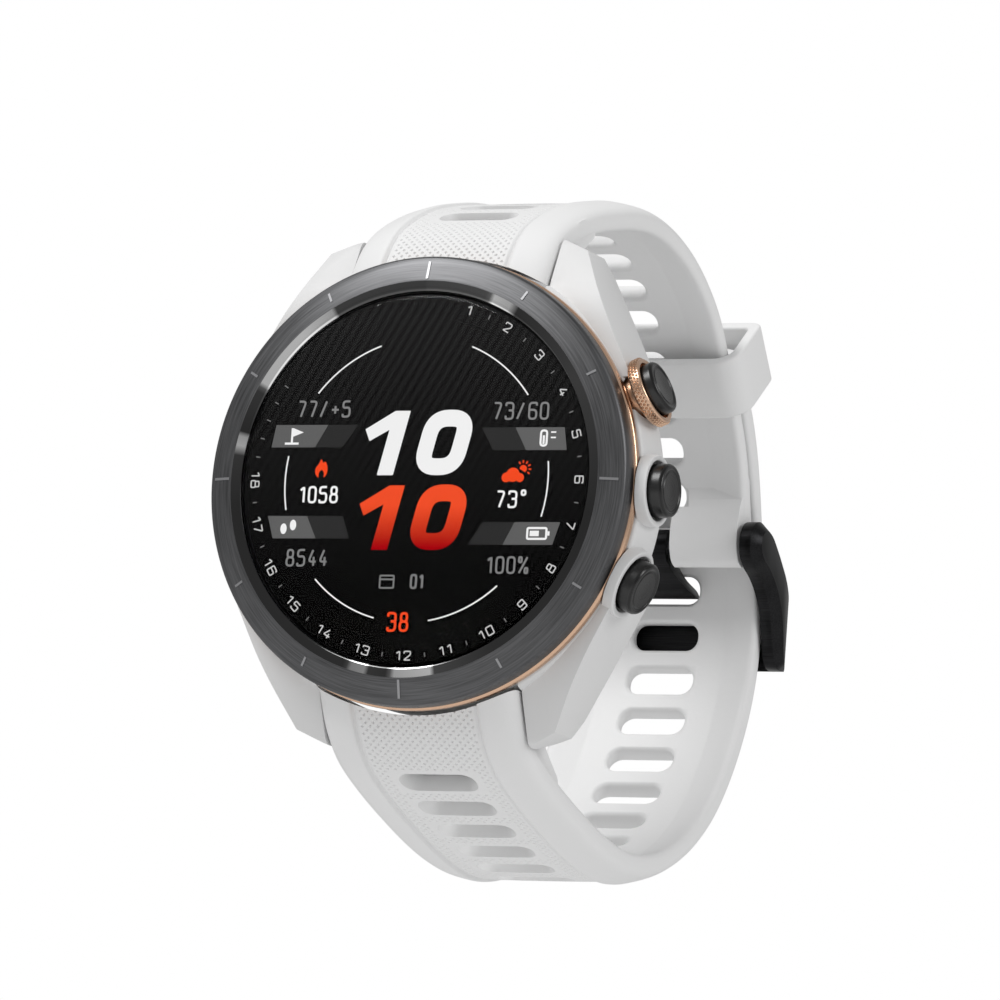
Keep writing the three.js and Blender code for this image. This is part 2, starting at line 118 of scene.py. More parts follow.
def shade(obj, angle=32):
    obj.data.shade_smooth()
    obj.data.set_sharp_from_angle(angle=math.radians(angle))
    return obj


def new_piece(name, points, faces, angle=32, fix_normals=True):
    mesh = bpy.data.meshes.new(name)
    mesh.from_pydata((np.asarray(points, float) * MM).tolist(), [], faces)
    obj = bpy.data.objects.new(name, mesh)
    bpy.context.scene.collection.objects.link(obj)
    if fix_normals:
        face_outwards(obj)
    return shade(obj, angle)


def face_outwards(obj):
    bm = bmesh.new()
    bm.from_mesh(obj.data)
    bmesh.ops.recalc_face_normals(bm, faces=bm.faces)
    bm.to_mesh(obj.data)
    bm.free()


def settle(obj, angle=32):
    """Turns live modifiers into a plain mesh."""
    bpy.context.view_layer.update()
    graph = bpy.context.evaluated_depsgraph_get()
    mesh = bpy.data.meshes.new_from_object(obj.evaluated_get(graph), depsgraph=graph)
    obj.modifiers.clear()
    old, obj.data = obj.data, mesh
    mesh.name = obj.name
    if old.users == 0:
        bpy.data.meshes.remove(old)
    return shade(obj, angle)


def combine(obj, tool, operation, angle=32):
    """One boolean, applied at once. The tool is used up."""
    mod = obj.modifiers.new("boolean", "BOOLEAN")
    mod.operation, mod.object, mod.solver = operation, tool, "MANIFOLD"
    settle(obj, angle)
    bpy.data.objects.remove(tool)
    return obj


def bevel(obj, width, segments=3, limit=30, angle=32):
    mod = obj.modifiers.new("bevel", "BEVEL")
    mod.width, mod.segments, mod.limit_method = width * MM, segments, "ANGLE"
    mod.angle_limit = math.radians(limit)
    mod.use_clamp_overlap = True
    mod.miter_outer = "MITER_ARC"
    return settle(obj, angle)


def joined(name, objs):
    """Puts several closed shapes into one piece."""
    bm = bmesh.new()
    for obj in objs:
        bm.from_mesh(obj.data)
    mesh = bpy.data.meshes.new(name)
    bm.to_mesh(mesh)
    bm.free()
    for obj in objs:
        bpy.data.objects.remove(obj)
    obj = bpy.data.objects.new(name, mesh)
    bpy.context.scene.collection.objects.link(obj)
    return shade(obj)


def report(obj):
    bm = bmesh.new()
    bm.from_mesh(obj.data)
    open_edges = sum(1 for e in bm.edges if len(e.link_faces) != 2)
    triangles = sum(len(f.verts) - 2 for f in bm.faces)
    bm.free()
    print(f"{obj.name}: {triangles} triangles, {open_edges} open edges")
    return obj


# %% Outlines with softened corners


def softened(points, radius, steps=3, closed=True):
    """Rounds every corner of an outline, by as much as its two edges allow."""
    pts = [Vector(p) for p in points]
    out = []
    for i, p in enumerate(pts):
        if not closed and i in (0, len(pts) - 1):
            out.append(tuple(p))
            continue
        before, after = pts[i - 1], pts[(i + 1) % len(pts)]
        r = min(radius, 0.45 * (p - before).length, 0.45 * (after - p).length)
        a, b = p + (before - p).normalized() * r, p + (after - p).normalized() * r
        for k in range(steps + 1):
            t = k / steps
            out.append(tuple(a * (1 - t) ** 2 + p * 2 * t * (1 - t) + b * t ** 2))
    return out


def rounded_box(half_w, half_h, radii, steps=8):
    """A box outline with its own radius at each corner, from the upper right one anticlockwise."""
    pts = []
    corners = ((1, 1, 0), (-1, 1, 90), (-1, -1, 180), (1, -1, 270))
    for (cx, cy, start), radius in zip(corners, radii):
        for k in range(steps + 1):
            a = math.radians(start + 90 * k / steps)
            pts.append((cx * (half_w - radius) + radius * math.cos(a),
                        cy * (half_h - radius) + radius * math.sin(a)))
    return pts


# %% Lathe, prism and box


def frame_along(direction):
    """A turning matrix whose third column is the given direction."""
    w = Vector(direction).normalized()
    u = Vector((0, 1, 0)) if abs(w.y) < 0.9 else Vector((0, 0, 1))
    u = (u - w * u.dot(w)).normalized()
    return Matrix((u, w.cross(u), w)).transposed()


def lathe(name, profile, origin=(0, 0, 0), axis=(0, 1, 0), steps=128, angle=32):
    """Turns a closed (radius, height) profile about an axis."""
    turn, origin = np.array(frame_along(axis)), np.array(origin, float)
    points, rings = [], []
    for r, h in profile:
        if r < 1e-6:
            rings.append([len(points)] * steps)
            points.append(origin + turn @ np.array((0, 0, h)))
            continue
        rings.append(list(range(len(points), len(points) + steps)))
        for k in range(steps):
            a = 2 * math.pi * k / steps
            points.append(origin + turn @ np.array((r * math.cos(a), r * math.sin(a), h)))
    faces = []
    for i, lower in enumerate(rings):
        upper = rings[(i + 1) % len(rings)]
        if lower[0] == lower[1] and upper[0] == upper[1]:
            continue
        for k in range(steps):
            n = (k + 1) % steps
            face = [lower[k], lower[n], upper[n], upper[k]]
            faces.append(list(dict.fromkeys(face)))
    return new_piece(name, points, faces, angle)


def prism(name, outline, low, high, axis="x", angle=32):
    """Extrudes an outline along X, Y or Z. The outline is in the other two axes, in that order."""
    order = {"x": (2, 0, 1), "y": (0, 2, 1), "z": (0, 1, 2)}[axis]
    n = len(outline)
    points = [[(*p, level)[k] for k in order] for level in (low, high) for p in outline]
    faces = [list(range(n)), list(range(n, 2 * n))]
    faces += [[i, (i + 1) % n, n + (i + 1) % n, n + i] for i in range(n)]
    return new_piece(name, points, faces, angle)


def block(name, size, centre):
    (w, d, h), (x, y, z) = size, centre
    outline = [(x - w / 2, y - d / 2), (x + w / 2, y - d / 2), (x + w / 2, y + d / 2), (x - w / 2, y + d / 2)]
    return prism(name, outline, z - h / 2, z + h / 2, "z")


def disc(name, radius, low, high, steps=192):
    return lathe(name, [(0, low), (radius, low), (radius, high), (0, high)], steps=steps)


def radial(angle, radius, y=BUTTON_Y):
    a = math.radians(angle)
    return (radius * math.sin(a), y, radius * math.cos(a))


def radial_rod(name, radius, angle, start, end, steps=64):
    profile = [(0, start), (radius, start), (radius, end), (0, end)]
    return lathe(name, profile, (0, BUTTON_Y, 0), radial(angle, 1, 0), steps)


def rod_x(name, radius, x0, x1, y, z, steps=48):
    return lathe(name, [(0, x0), (radius, x0), (radius, x1), (0, x1)], (0, y, z), (1, 0, 0), steps)


# %% [markdown]
# ## Shader maths as plain expressions
#
# A node tree is hard to read when every sum is three lines of links. This small class wraps one
# socket and adds a Math node for each operator, so a pattern reads as a formula.

# %% The socket class


class Value:
    """A number that varies over the surface."""

    def __init__(self, tree, socket):
        self.tree, self.socket = tree, socket

    def node(self, kind, inputs, output=0, **settings):
        made = self.tree.nodes.new(kind)
        for key, setting in settings.items():
            if key == "stops":
                elements = made.color_ramp.elements
                elements.remove(elements[1])
                elements[0].position, elements[0].color = setting[0]
                for at, colour in setting[1:]:
                    elements.new(at).color = colour
            else:
                setattr(made, key, setting)
        for key, value in inputs.items():
            if isinstance(value, Value):
                self.tree.links.new(value.socket, made.inputs[key])
            else:
                made.inputs[key].default_value = value
        return Value(self.tree, made.outputs[output])

    def math(self, operation, other=None, swap=False, clamp=False):
        pair = {0: self} if other is None else ({0: other, 1: self} if swap else {0: self, 1: other})
        return self.node("ShaderNodeMath", pair, operation=operation, use_clamp=clamp)

    def __add__(self, o):
        return self.math("ADD", o)

    __radd__ = __add__

    def __mul__(self, o):
        return self.math("MULTIPLY", o)

    __rmul__ = __mul__

    def __sub__(self, o):
        return self.math("SUBTRACT", o)

    def __rsub__(self, o):
        return self.math("SUBTRACT", o, swap=True)

    def __truediv__(self, o):
        return self.math("DIVIDE", o)

    def clamped(self):
        return self.math("MULTIPLY", 1.0, clamp=True)

    def vector(self, x, y, z):
        return self.node("ShaderNodeCombineXYZ", {0: x, 1: y, 2: z})

    def noise(self, at, scale, detail=2.0, roughness=0.5):
        return self.node("ShaderNodeTexNoise", {
            "Vector": at, "Scale": scale, "Detail": detail, "Roughness": roughness})

    def mix(self, low, high):
        """Blends two colours, with this value as the share of the second."""
        made = self.tree.nodes.new("ShaderNodeMix")
        made.data_type = "RGBA"
        colours = [s for s in made.inputs if s.type == "RGBA"]
        for socket, value in zip(colours, (low, high)):
            if isinstance(value, Value):
                self.tree.links.new(value.socket, socket)
            else:
                socket.default_value = value
        self.tree.links.new(self.socket, made.inputs[0])
        return Value(self.tree, next(s for s in made.outputs if s.type == "RGBA"))


def grey(v):
    return (v, v, v, 1.0)


def start_finish(name, **constants):
    """A new material. Constants sit on the shader's own sockets."""
    mat = bpy.data.materials.new(name)
    mat.use_nodes = True
    tree = mat.node_tree
    shader = tree.nodes["Principled BSDF"]
    for key, value in constants.items():
        shader.inputs[key.replace("_", " ")].default_value = value
    place = tree.nodes.new("ShaderNodeTexCoord")
    at = Value(tree, place.outputs["Object"])
    split = tree.nodes.new("ShaderNodeSeparateXYZ")
    tree.links.new(at.socket, split.inputs[0])
    xyz = [Value(tree, split.outputs[i]) for i in range(3)]
    return mat, shader, at, xyz


def feed(shader, **links):
    tree = shader.id_data
    for key, value in links.items():
        tree.links.new(value.socket, shader.inputs[key.replace("_", " ")])


def bump(shader, height, distance, strength=1.0):
    made = height.node("ShaderNodeBump", {"Height": height, "Distance": distance, "Strength": strength})
    feed(shader, Normal=made)


# %% [markdown]
# ## Finishes
#
# Silicone and case polymer are near-white with a soft sheen. The bezel is dark metal brushed round
# its axis, the rings are rose gold, and the buckle and buttons are black metal. Brushing is noise
# that is stretched along the direction of the strokes.

# %% Moulded finishes


def moulded(name, tone, rough, grain=3000, depth=0.00001, warm=0.0):
    mat, shader, at, xyz = start_finish(name, IOR=1.45)
    cloud = at.noise(at, 90, 3)
    fine = at.noise(at, grain, 2)
    light, dark = (tone, tone, tone * (1 - warm), 1), (tone * 0.96, tone * 0.96, tone * 0.96 * (1 - warm), 1)
    feed(shader, Base_Color=cloud.mix(dark, light), Roughness=rough + (fine - 0.5) * 0.12)
    bump(shader, fine, depth, 0.5)
    return mat


CASE_WHITE = moulded("case polymer", 0.74, 0.42)
SILICONE = moulded("strap silicone", 0.84, 0.52, 2200, 0.00002)
SEAL_RUBBER = moulded("seal rubber", 0.02, 0.6)
CHASSIS = moulded("chassis plastic", 0.03, 0.5)
BACK_POLYMER = moulded("back cover polymer", 0.055, 0.45)

# %% Metals, brushed along or round


def brushed(name, tone, rough, round_watch=False, contrast=0.35):
    """Strokes run round the watch axis, or else along X."""
    mat, shader, at, (x, y, z) = start_finish(name, Metallic=1.0)
    if round_watch:
        r = (x * x + z * z).math("SQRT")
        strokes = at.noise(at.vector(r * 9000, (x / r) * 4, (z / r) * 4 + y * 4000), 1.0, 3, 0.6)
        wide = at.noise(at.vector(r * 400, (x / r) * 1.5, (z / r) * 1.5), 1.0, 2)
    else:
        strokes = at.noise(at.vector(x * 250, y * 9000, z * 9000), 1.0, 3, 0.6)
        wide = at.noise(at.vector(x * 60, y * 500, z * 500), 1.0, 2)
    share = ((strokes * 0.7 + wide * 0.3 - 0.5) * 2.2 + 0.5).clamped()
    low = tuple(c * (1 - contrast) for c in tone) + (1,)
    high = tuple(min(1, c * (1 + contrast)) for c in tone) + (1,)
    feed(shader, Base_Color=share.mix(low, high), Roughness=rough + (strokes - 0.5) * 0.25)
    bump(shader, strokes, 0.000006, 0.4)
    return mat


def polished(name, tone, rough, metallic=1.0):
    mat, shader, at, xyz = start_finish(name, Metallic=metallic)
    cloud = at.noise(at, 400, 2)
    feed(shader, Base_Color=cloud.mix(tuple(c * 0.92 for c in tone) + (1,), tone + (1,)),
         Roughness=rough + (cloud - 0.5) * 0.05)
    return mat


BEZEL_BRUSHED = brushed("bezel brushed", (0.115, 0.1155, 0.119), 0.42, True, contrast=0.5)
ROSE_GOLD = polished("rose gold", (0.74, 0.49, 0.34), 0.24)
BLACK_BRUSHED = brushed("black brushed", (0.02, 0.02, 0.021), 0.36, contrast=0.6)
STEEL = polished("steel", (0.5, 0.5, 0.52), 0.28)
CONTACT_GOLD = polished("contact gold", (0.72, 0.50, 0.2), 0.25)
CELL_FOIL = polished("cell foil", (0.45, 0.46, 0.48), 0.35)
BOARD_GREEN = moulded("circuit board", 0.05, 0.5)


# degrees clockwise from 12 o'clock, and the tone there: painted reflection, bright where the step would
# mirror a light and dark between
PAINTED_REFLECTION_BANDS = [
    (0, 0.12), (21, 0.14), (22, 0.95), (29, 0.72), (30, 0.06), (60, 0.1), (100, 0.05), (150, 0.06),
    (169, 0.12), (170, 0.95), (182, 0.7), (183, 0.06), (190, 0.08), (191, 0.5), (196, 0.4), (197, 0.06),
    (262, 0.05), (278, 0.08), (279, 0.8), (283, 0.6), (284, 0.05), (298, 0.08), (299, 0.9), (318, 1.0),
    (329, 0.7), (330, 0.1)]


def mirror_ring():
    """The polished inner step of the bezel. Its base colour holds painted reflections: bright and dark bands
    at set angles round the ring.
    """
    mat, shader, at, (x, y, z) = start_finish("bezel mirror step", Metallic=1.0, Roughness=0.1)
    turn = ((x * -1.0).math("ARCTAN2", z * -1.0) + math.pi) / (2 * math.pi)
    stops = [(angle / 360, grey(tone)) for angle, tone in PAINTED_REFLECTION_BANDS]
    # painted reflection: the tone at each angle is set in the base colour, not left to the lighting
    bands = turn.node("ShaderNodeValToRGB", {"Fac": turn}, stops=stops)
    feed(shader, Base_Color=bands)
    return mat


BEZEL_PAINTED_REFLECTIONS = mirror_ring()


def spun_button(name, angle, tone):
    """Fine rings turned on a button's face, about its own axis."""
    mat, shader, at, (x, y, z) = start_finish(name, Metallic=1.0)
    a = math.radians(angle)
    side = x * math.cos(a) - z * math.sin(a)
    up = y - BUTTON_Y * MM
    r = (side * side + up * up).math("SQRT")
    rings = at.node("ShaderNodeTexNoise", {"W": r * 6000, "Scale": 1.0, "Detail": 2.0}, noise_dimensions="1D")
    feed(shader, Base_Color=rings.mix(grey(tone * 0.5), grey(tone * 1.6)),
         Roughness=0.3 + (rings - 0.5) * 0.3)
    bump(shader, rings, 0.00001, 0.5)
    return mat


SPUN = {key: spun_button(f"spun black {key}", angle, 0.05) for key, angle in BUTTON_ANGLES.items()}

# %% Screen finishes
#
# A screen gives out light, so its colours go to the emission socket and the shader itself is black.


def lit(name, colour_of):
    mat, shader, at, xyz = start_finish(name, Roughness=0.6, Emission_Strength=1.0)
    shader.inputs["Base Color"].default_value = (0.0, 0.0, 0.0, 1.0)
    shader.inputs["Specular IOR Level"].default_value = 0.0
    feed(shader, Emission_Color=colour_of(at, *xyz))
    return mat


def flat_light(low, high):
    return lambda at, x, y, z: at.noise(at, 60, 1).mix(low, high)


def down_gradient(top, bottom, z_top, z_bottom):
    return lambda at, x, y, z: ((z - z_bottom * MM) / ((z_top - z_bottom) * MM)).clamped().mix(bottom, top)


def hatch(at, x, y, z):
    """Fine slanting lines on black, fading towards the lower edge."""
    stripes = ((x * 0.87 - z * 0.50) * (2 * math.pi / (0.8 * MM))).math("SINE") * 0.5 + 0.5
    height = ((z + 13 * MM) / (28 * MM)).clamped()
    glow = height * height * 0.008 + stripes * height * 0.009
    return glow.mix(grey(0.0), grey(1.0))


SCREEN = lit("screen black", hatch)
SCREEN_WHITE = lit("screen white", flat_light(grey(0.84), grey(0.9)))
SCREEN_GREY = lit("screen grey", flat_light(grey(0.20), grey(0.24)))
TICK_LIGHT = lit("tick light", flat_light(grey(0.17), grey(0.19)))
CHIP_DARK = lit("chip dark", flat_light(grey(0.022), grey(0.028)))
CHIP_LIGHT = lit("chip light", flat_light(grey(0.10), grey(0.13)))
SCREEN_RED = lit("screen red", flat_light((0.86, 0.062, 0.012, 1), (0.9, 0.072, 0.016, 1)))
RED_FADE = lit("screen red fade", down_gradient((0.86, 0.075, 0.02, 1), (0.36, 0.0, 0.002, 1), -2.4, -6.2))
NUMERAL = lit("dial numerals", flat_light(grey(0.55), grey(0.62)))
MARK = polished("bezel mark", (0.36, 0.36, 0.37), 0.4)


def clear_glass():
    """Coated glass: almost all see-through, with a thin reflection that grows towards the rim."""
    mat = bpy.data.materials.new("lens glass")
    mat.use_nodes = True
    tree = mat.node_tree
    tree.nodes.clear()
    out = tree.nodes.new("ShaderNodeOutputMaterial")
    fresnel = tree.nodes.new("ShaderNodeFresnel")
    fresnel.inputs["IOR"].default_value = 1.16
    clear = tree.nodes.new("ShaderNodeBsdfTransparent")
    gloss = tree.nodes.new("ShaderNodeBsdfGlossy")
    gloss.inputs["Roughness"].default_value = 0.03
    mix = tree.nodes.new("ShaderNodeMixShader")
    tree.links.new(fresnel.outputs[0], mix.inputs[0])
    tree.links.new(clear.outputs[0], mix.inputs[1])
    tree.links.new(gloss.outputs[0], mix.inputs[2])
    tree.links.new(mix.outputs[0], out.inputs["Surface"])
    return mat


LENS_GLASS = clear_glass()
SENSOR_GLASS = polished("sensor glass", (0.012, 0.012, 0.014), 0.06, metallic=0.0)
print("materials", len(bpy.data.materials))


def done(obj, body, slot, mats, *nodes):
    """Gives a piece its finish, its body and the solids it stands for. The slot argument is not used."""
    mats = mats if isinstance(mats, (list, tuple)) else [mats]
    obj.name = obj.name.replace(" ", "_")
    obj.data.materials.clear()
    for mat in mats:
        obj.data.materials.append(mat)
    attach(obj, body)
    if nodes:
        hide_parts(*nodes)
    return report(obj)


# %% [markdown]
# ## Case
#
# The middle case is a turned ring of polymer with four lugs. The ring is a lathe profile. The lugs
# are where two prisms meet, one drawn from the front and one from the side, which is what gives
# them their flat facets. Their edges are softened before they join the ring.

# %% Case
case_profile = [
    (14.4, -4.2), (18.1, -4.2), (18.1, CASE_TOP_Y), (21.25, CASE_TOP_Y), (21.5, -7.6), (21.7, -6.3),
    (21.7, -4.9), (21.3, -3.4), (20.4, -1.7), (19.4, -0.85), (18.35, -0.85), (18.35, -1.9), (14.4, -1.9)]
case = lathe("case", softened(case_profile, 0.35, 3), steps=192)
LUG_FRONT = [(9.0, 9.0), (19.4, 10.2), (16.4, 16.2), (13.1, 22.5), (10.0, 23.9), (9.0, 23.9)]
LUG_BEND = [(-8.5, 10.0), (-8.45, 17.2), (-5.2, 23.75), (-3.6, 23.9), (-2.0, 22.9), (-1.2, 20.8)]
LUG_SIDE = [(-8.5, 8.0), *softened(LUG_BEND, 4.0, 8, False), (-1.2, 8.0)]
for up in (1, -1):
    for right in (1, -1):
        lug = prism("lug", [(right * x, up * z) for x, z in LUG_FRONT], -8.5, -1.2, "y")
        combine(lug, prism("side", [(y, up * z) for y, z in LUG_SIDE], -20, 20, "x"), "INTERSECT")
        combine(lug, block("pocket", (2 * LUG_X, 20, 30), (0, -5, up * 25)), "DIFFERENCE")
        bevel(lug, 0.3, 3, 20)
        combine(lug, disc("core", 19.9, CASE_TOP_Y - 1, 0), "DIFFERENCE")
        combine(case, lug, "UNION")
    pocket = block("pocket", (2 * LUG_X, 12, 12), (0, -5, up * 22))
    combine(case, combine(pocket, disc("wall", POCKET_R, -12, 2), "DIFFERENCE"), "DIFFERENCE")
    combine(case, rod_x("bar bore", 0.55, -11.3, 11.3, BAR_Y, up * BAR_Z), "DIFFERENCE")
for key in ("middle", "lower"):
    a = BUTTON_ANGLES[key]
    boss = [(3.55, 19.5), (3.3, 22.2), (COLLAR_SEAT_R, 22.2), (COLLAR_SEAT_R, 20.9)]
    profile = [(0, 19.5), *softened(boss, 0.22, 3, closed=False), (0, 20.9)]
    collar = lathe("collar", profile, (0, BUTTON_Y, 0), radial(a, 1, 0), 96)
    rim = [(19, -13), (21.25, -13), (21.25, CASE_TOP_Y), (19, CASE_TOP_Y)]
    combine(collar, lathe("rim", rim, steps=96), "DIFFERENCE")
    combine(case, radial_rod("seat", COLLAR_SEAT_R, a, 20.9, 24), "DIFFERENCE")
    combine(case, collar, "UNION")
combine(case, radial_rod("seat", 2.3, BUTTON_ANGLES["upper"], 20.6, 24), "DIFFERENCE")
for a in BUTTON_ANGLES.values():
    combine(case, radial_rod("stem bore", STEM_BORE_R, a, 16.5, 24), "DIFFERENCE", 28)
for a in (45, 135, 225, 315):
    screw_bore = lathe("screw bore", [(0, -3.9), (0.75, -3.9), (0.75, 0), (0, 0)],
                       radial(a, SCREW_CIRCLE_R, 0), steps=32)
    combine(case, screw_bore, "DIFFERENCE", 28)
done(case, "watch", "case_polymer", CASE_WHITE, "case_middle")

# %% [markdown]
# ## Bezel, accent ring and glass
#
# One lathe profile carries both the polished inner step and the brushed slope. The faces of the step are
# picked out by their radius and given the mirror finish, whose colour holds painted reflection bands.

# %% Bezel and accent ring
bezel_profile = [
    (16.1, -10.9), (17.5, -10.9), (17.5, -12.2), (17.65, -12.38), (18.45, -12.45), (18.62, -12.42),
    (20.3, -11.95), (20.85, -11.68), (21.0, -11.4), (21.0, -9.75), (19.35, -9.75), (19.35, -9.0),
    (17.95, -9.0), (17.95, -10.25), (16.1, -10.25)]
bezel = lathe("bezel ring", softened(bezel_profile, 0.12, 2), steps=256)
STEP_INNER_R, STEP_OUTER_R, STEP_FOOT_Y = 17.45, 18.52, -11.95
# the second material is the mirror step with its painted reflection bands
done(bezel, "watch", "brushed_black", [BEZEL_BRUSHED, BEZEL_PAINTED_REFLECTIONS], "bezel")
for poly in bezel.data.polygons:
    x, y, z = poly.center / MM
    poly.material_index = int(STEP_INNER_R < math.hypot(x, z) < STEP_OUTER_R and y < STEP_FOOT_Y)

ring_profile = [(19.65, -9.7), (20.9, -9.7), (21.15, -9.5), (21.15, -8.85), (19.65, -8.85)]
accent = lathe("accent ring", softened(ring_profile, 0.12, 3), steps=256)
done(accent, "watch", "rose_gold", ROSE_GOLD, "bezel_accent_ring")

glass = lathe("glass", [(0, -12.4), *softened([(16.9, -12.4), (17.3, -12.2), (17.3, -11.75)], 0.15, 3, False),
                        (0, -11.75)], steps=256)
done(glass, "watch", "lens_glass", LENS_GLASS, "lens")
number_ring = lathe("number ring", [(15.15, DIAL_Y), (17.3, DIAL_Y), (17.3, -11.3), (15.15, -11.3)],
                    steps=256)
done(number_ring, "watch", "display_black", SCREEN, "dial_number_ring")
screen = lathe("screen", [(0, DIAL_Y), (15.1, DIAL_Y), (15.1, -10.6), (0, -10.6)], steps=192)
done(screen, "watch", "display_black", SCREEN, "display_module")

# %% [markdown]
# ## Marks that repeat
#
# Ticks and bezel marks are one small bar, set out round a circle. Geometry Nodes does that with a
# line of points whose angle grows with the index. The same tree serves every ring of bars, with
# its sizes as named inputs.

# %% Small meshes set out round a circle


class RingTree:
    """A Geometry Nodes tree that sets copies of one small mesh round a circle about Y."""

    def __init__(self, name, **more_inputs):
        self.tree = bpy.data.node_groups.new(name, "GeometryNodeTree")
        face = self.tree.interface
        face.new_socket("Geometry", in_out="OUTPUT", socket_type="NodeSocketGeometry")
        kinds = {"Count": "Int", "Radius": "Float", "First_Angle": "Float", "Step_Angle": "Float",
                 "Material": "Material", **more_inputs}
        self.ids = {label: face.new_socket(label, in_out="INPUT", socket_type=f"NodeSocket{kind}").identifier
                    for label, kind in kinds.items()}
        self.inputs = self.tree.nodes.new("NodeGroupInput").outputs
        self.index = self.node("GeometryNodeInputIndex")

    def node(self, kind, links=None, **settings):
        """Adds a node and returns its first output."""
        made = self.tree.nodes.new(kind)
        for key, value in settings.items():
            setattr(made, key, value)
        for key, value in (links or {}).items():
            if isinstance(value, bpy.types.NodeSocket):
                self.tree.links.new(value, made.inputs[key])
            else:
                made.inputs[key].default_value = value
        return made.outputs[0]

    def math(self, operation, a, b=0.0):
        return self.node("ShaderNodeMath", {0: a, 1: b}, operation=operation)

    def set_out(self, item, steps_round, height, tilt=0.0):
        """Puts one copy of the item at each point, which lies a number of steps round the circle."""
        angle = self.math("ADD", self.math("MULTIPLY", steps_round, self.inputs["Step_Angle"]),
                          self.inputs["First_Angle"])
        x = self.math("MULTIPLY", self.math("SINE", angle), self.inputs["Radius"])
        z = self.math("MULTIPLY", self.math("COSINE", angle), self.inputs["Radius"])
        spot = self.node("ShaderNodeCombineXYZ", {0: x, 1: height, 2: z})
        turned = self.node("ShaderNodeCombineXYZ", {0: tilt, 1: angle, 2: 0.0})
        points = self.node("GeometryNodePoints", {"Count": self.inputs["Count"]})
        placed = self.node("GeometryNodeSetPosition", {"Geometry": points, "Position": spot})
        copies = self.node("GeometryNodeInstanceOnPoints", {
            "Points": placed, "Instance": item, "Rotation": turned})
        real = self.node("GeometryNodeRealizeInstances", {0: copies})
        painted = self.node("GeometryNodeSetMaterial", {
            "Geometry": real, "Material": self.inputs["Material"]})
        self.tree.links.new(painted, self.tree.nodes.new("NodeGroupOutput").inputs[0])

    def grow(self, name, **values):
        """Runs the tree on an empty mesh and keeps the result as a plain mesh."""
        obj = bpy.data.objects.new(name, bpy.data.meshes.new(name))
        bpy.context.scene.collection.objects.link(obj)
        mod = obj.modifiers.new("nodes", "NODES")
        mod.node_group = self.tree
        for label, value in values.items():
            mod[self.ids[label]] = value
        return settle(obj)


BARS = RingTree("ring of bars", Height="Float", Tilt="Float", Bar_Size="Vector")
BARS.set_out(BARS.node("GeometryNodeMeshCube", {"Size": BARS.inputs["Bar_Size"]}),
             BARS.index, BARS.inputs["Height"], BARS.inputs["Tilt"])


def bars(name, count, radius, height, first, step, size, mat, tilt=0.0):
    return BARS.grow(name, Count=count, Radius=radius * MM, Height=height * MM, Tilt=math.radians(tilt),
                     First_Angle=math.radians(first), Step_Angle=math.radians(step),
                     Bar_Size=[s * MM for s in size], Material=mat)


# %% Bezel marks and dial ticks
SLOPE = -15.6
marks = joined("bezel marks", [
    bars("short marks", 12, 19.7, -12.13, 0, 30, (0.22, 0.09, 0.95), MARK, SLOPE),
    bars("long marks", 4, 19.55, -12.17, 0, 90, (0.24, 0.10, 1.75), MARK, SLOPE)])
done(marks, "watch", "steel", MARK)
TICK_Y = DIAL_Y - 0.012
ticks = joined("dial ticks", [
    bars("between holes", 17, 16.4, TICK_Y, 22.5, 15, (0.1, 0.02, 0.42), TICK_LIGHT),
    bars("upper left", 5, 16.4, TICK_Y, 277.5, 6.2, (0.1, 0.02, 0.42), TICK_LIGHT)])
done(ticks, "watch", "display_black", TICK_LIGHT)

# %% [markdown]
# ## Numbers drawn with strokes
#
# A stroke font needs no font file: each figure is one or two bent lines in a box, and a pen of
# fixed width runs along them. Rounding the bends gives the soft square look of a sports display.

# %% Pen strokes
PEN_DEPTH = 0.02


def pen_line(path, width, closed=False):
    """The two edges of a flat ribbon along a path in the face plane, with mitred bends."""
    pts = [np.array(p, float) for p in path]
    pts = [p for i, p in enumerate(pts) if i == 0 or np.hypot(*(p - pts[i - 1])) > 1e-4]
    n = len(pts)
    left, right = [], []
    for i, p in enumerate(pts):
        a = pts[i - 1] if (i or closed) else None
        b = pts[(i + 1) % n] if (i < n - 1 or closed) else None
        d1 = (p - a) / np.hypot(*(p - a)) if a is not None else None
        d2 = (b - p) / np.hypot(*(b - p)) if b is not None else None
        d1 = d2 if d1 is None else d1
        d2 = d1 if d2 is None else d2
        side = np.array((-d1[1] - d2[1], d1[0] + d2[0]))
        side /= np.hypot(*side)
        reach = width / 2 / max(0.4, side @ np.array((-d1[1], d1[0])))
        left.append(p + side * reach)
        right.append(p - side * reach)
    return left, right


def ribbon_solid(left, right, closed, base, top):
    """Closes a ribbon into a thin solid between two heights."""
    n = len(left)
    edges = ((left, top), (right, top), (left, base), (right, base))
    points = [(x, y, z) for row, y in edges for x, z in row]
    faces = []
    for i in range(n if closed else n - 1):
        j = (i + 1) % n
        faces += [(i, j, n + j, n + i), (2 * n + i, 3 * n + i, 3 * n + j, 2 * n + j),
                  (i, 2 * n + i, 2 * n + j, j), (n + i, n + j, 3 * n + j, 3 * n + i)]
    if not closed:
        faces += [(0, n, 3 * n, 2 * n), (n - 1, 3 * n - 1, 4 * n - 1, 2 * n - 1)]
    return points, faces


def rounded_path(path, radius, closed=False, steps=4):
    return softened(path, radius, steps, closed)


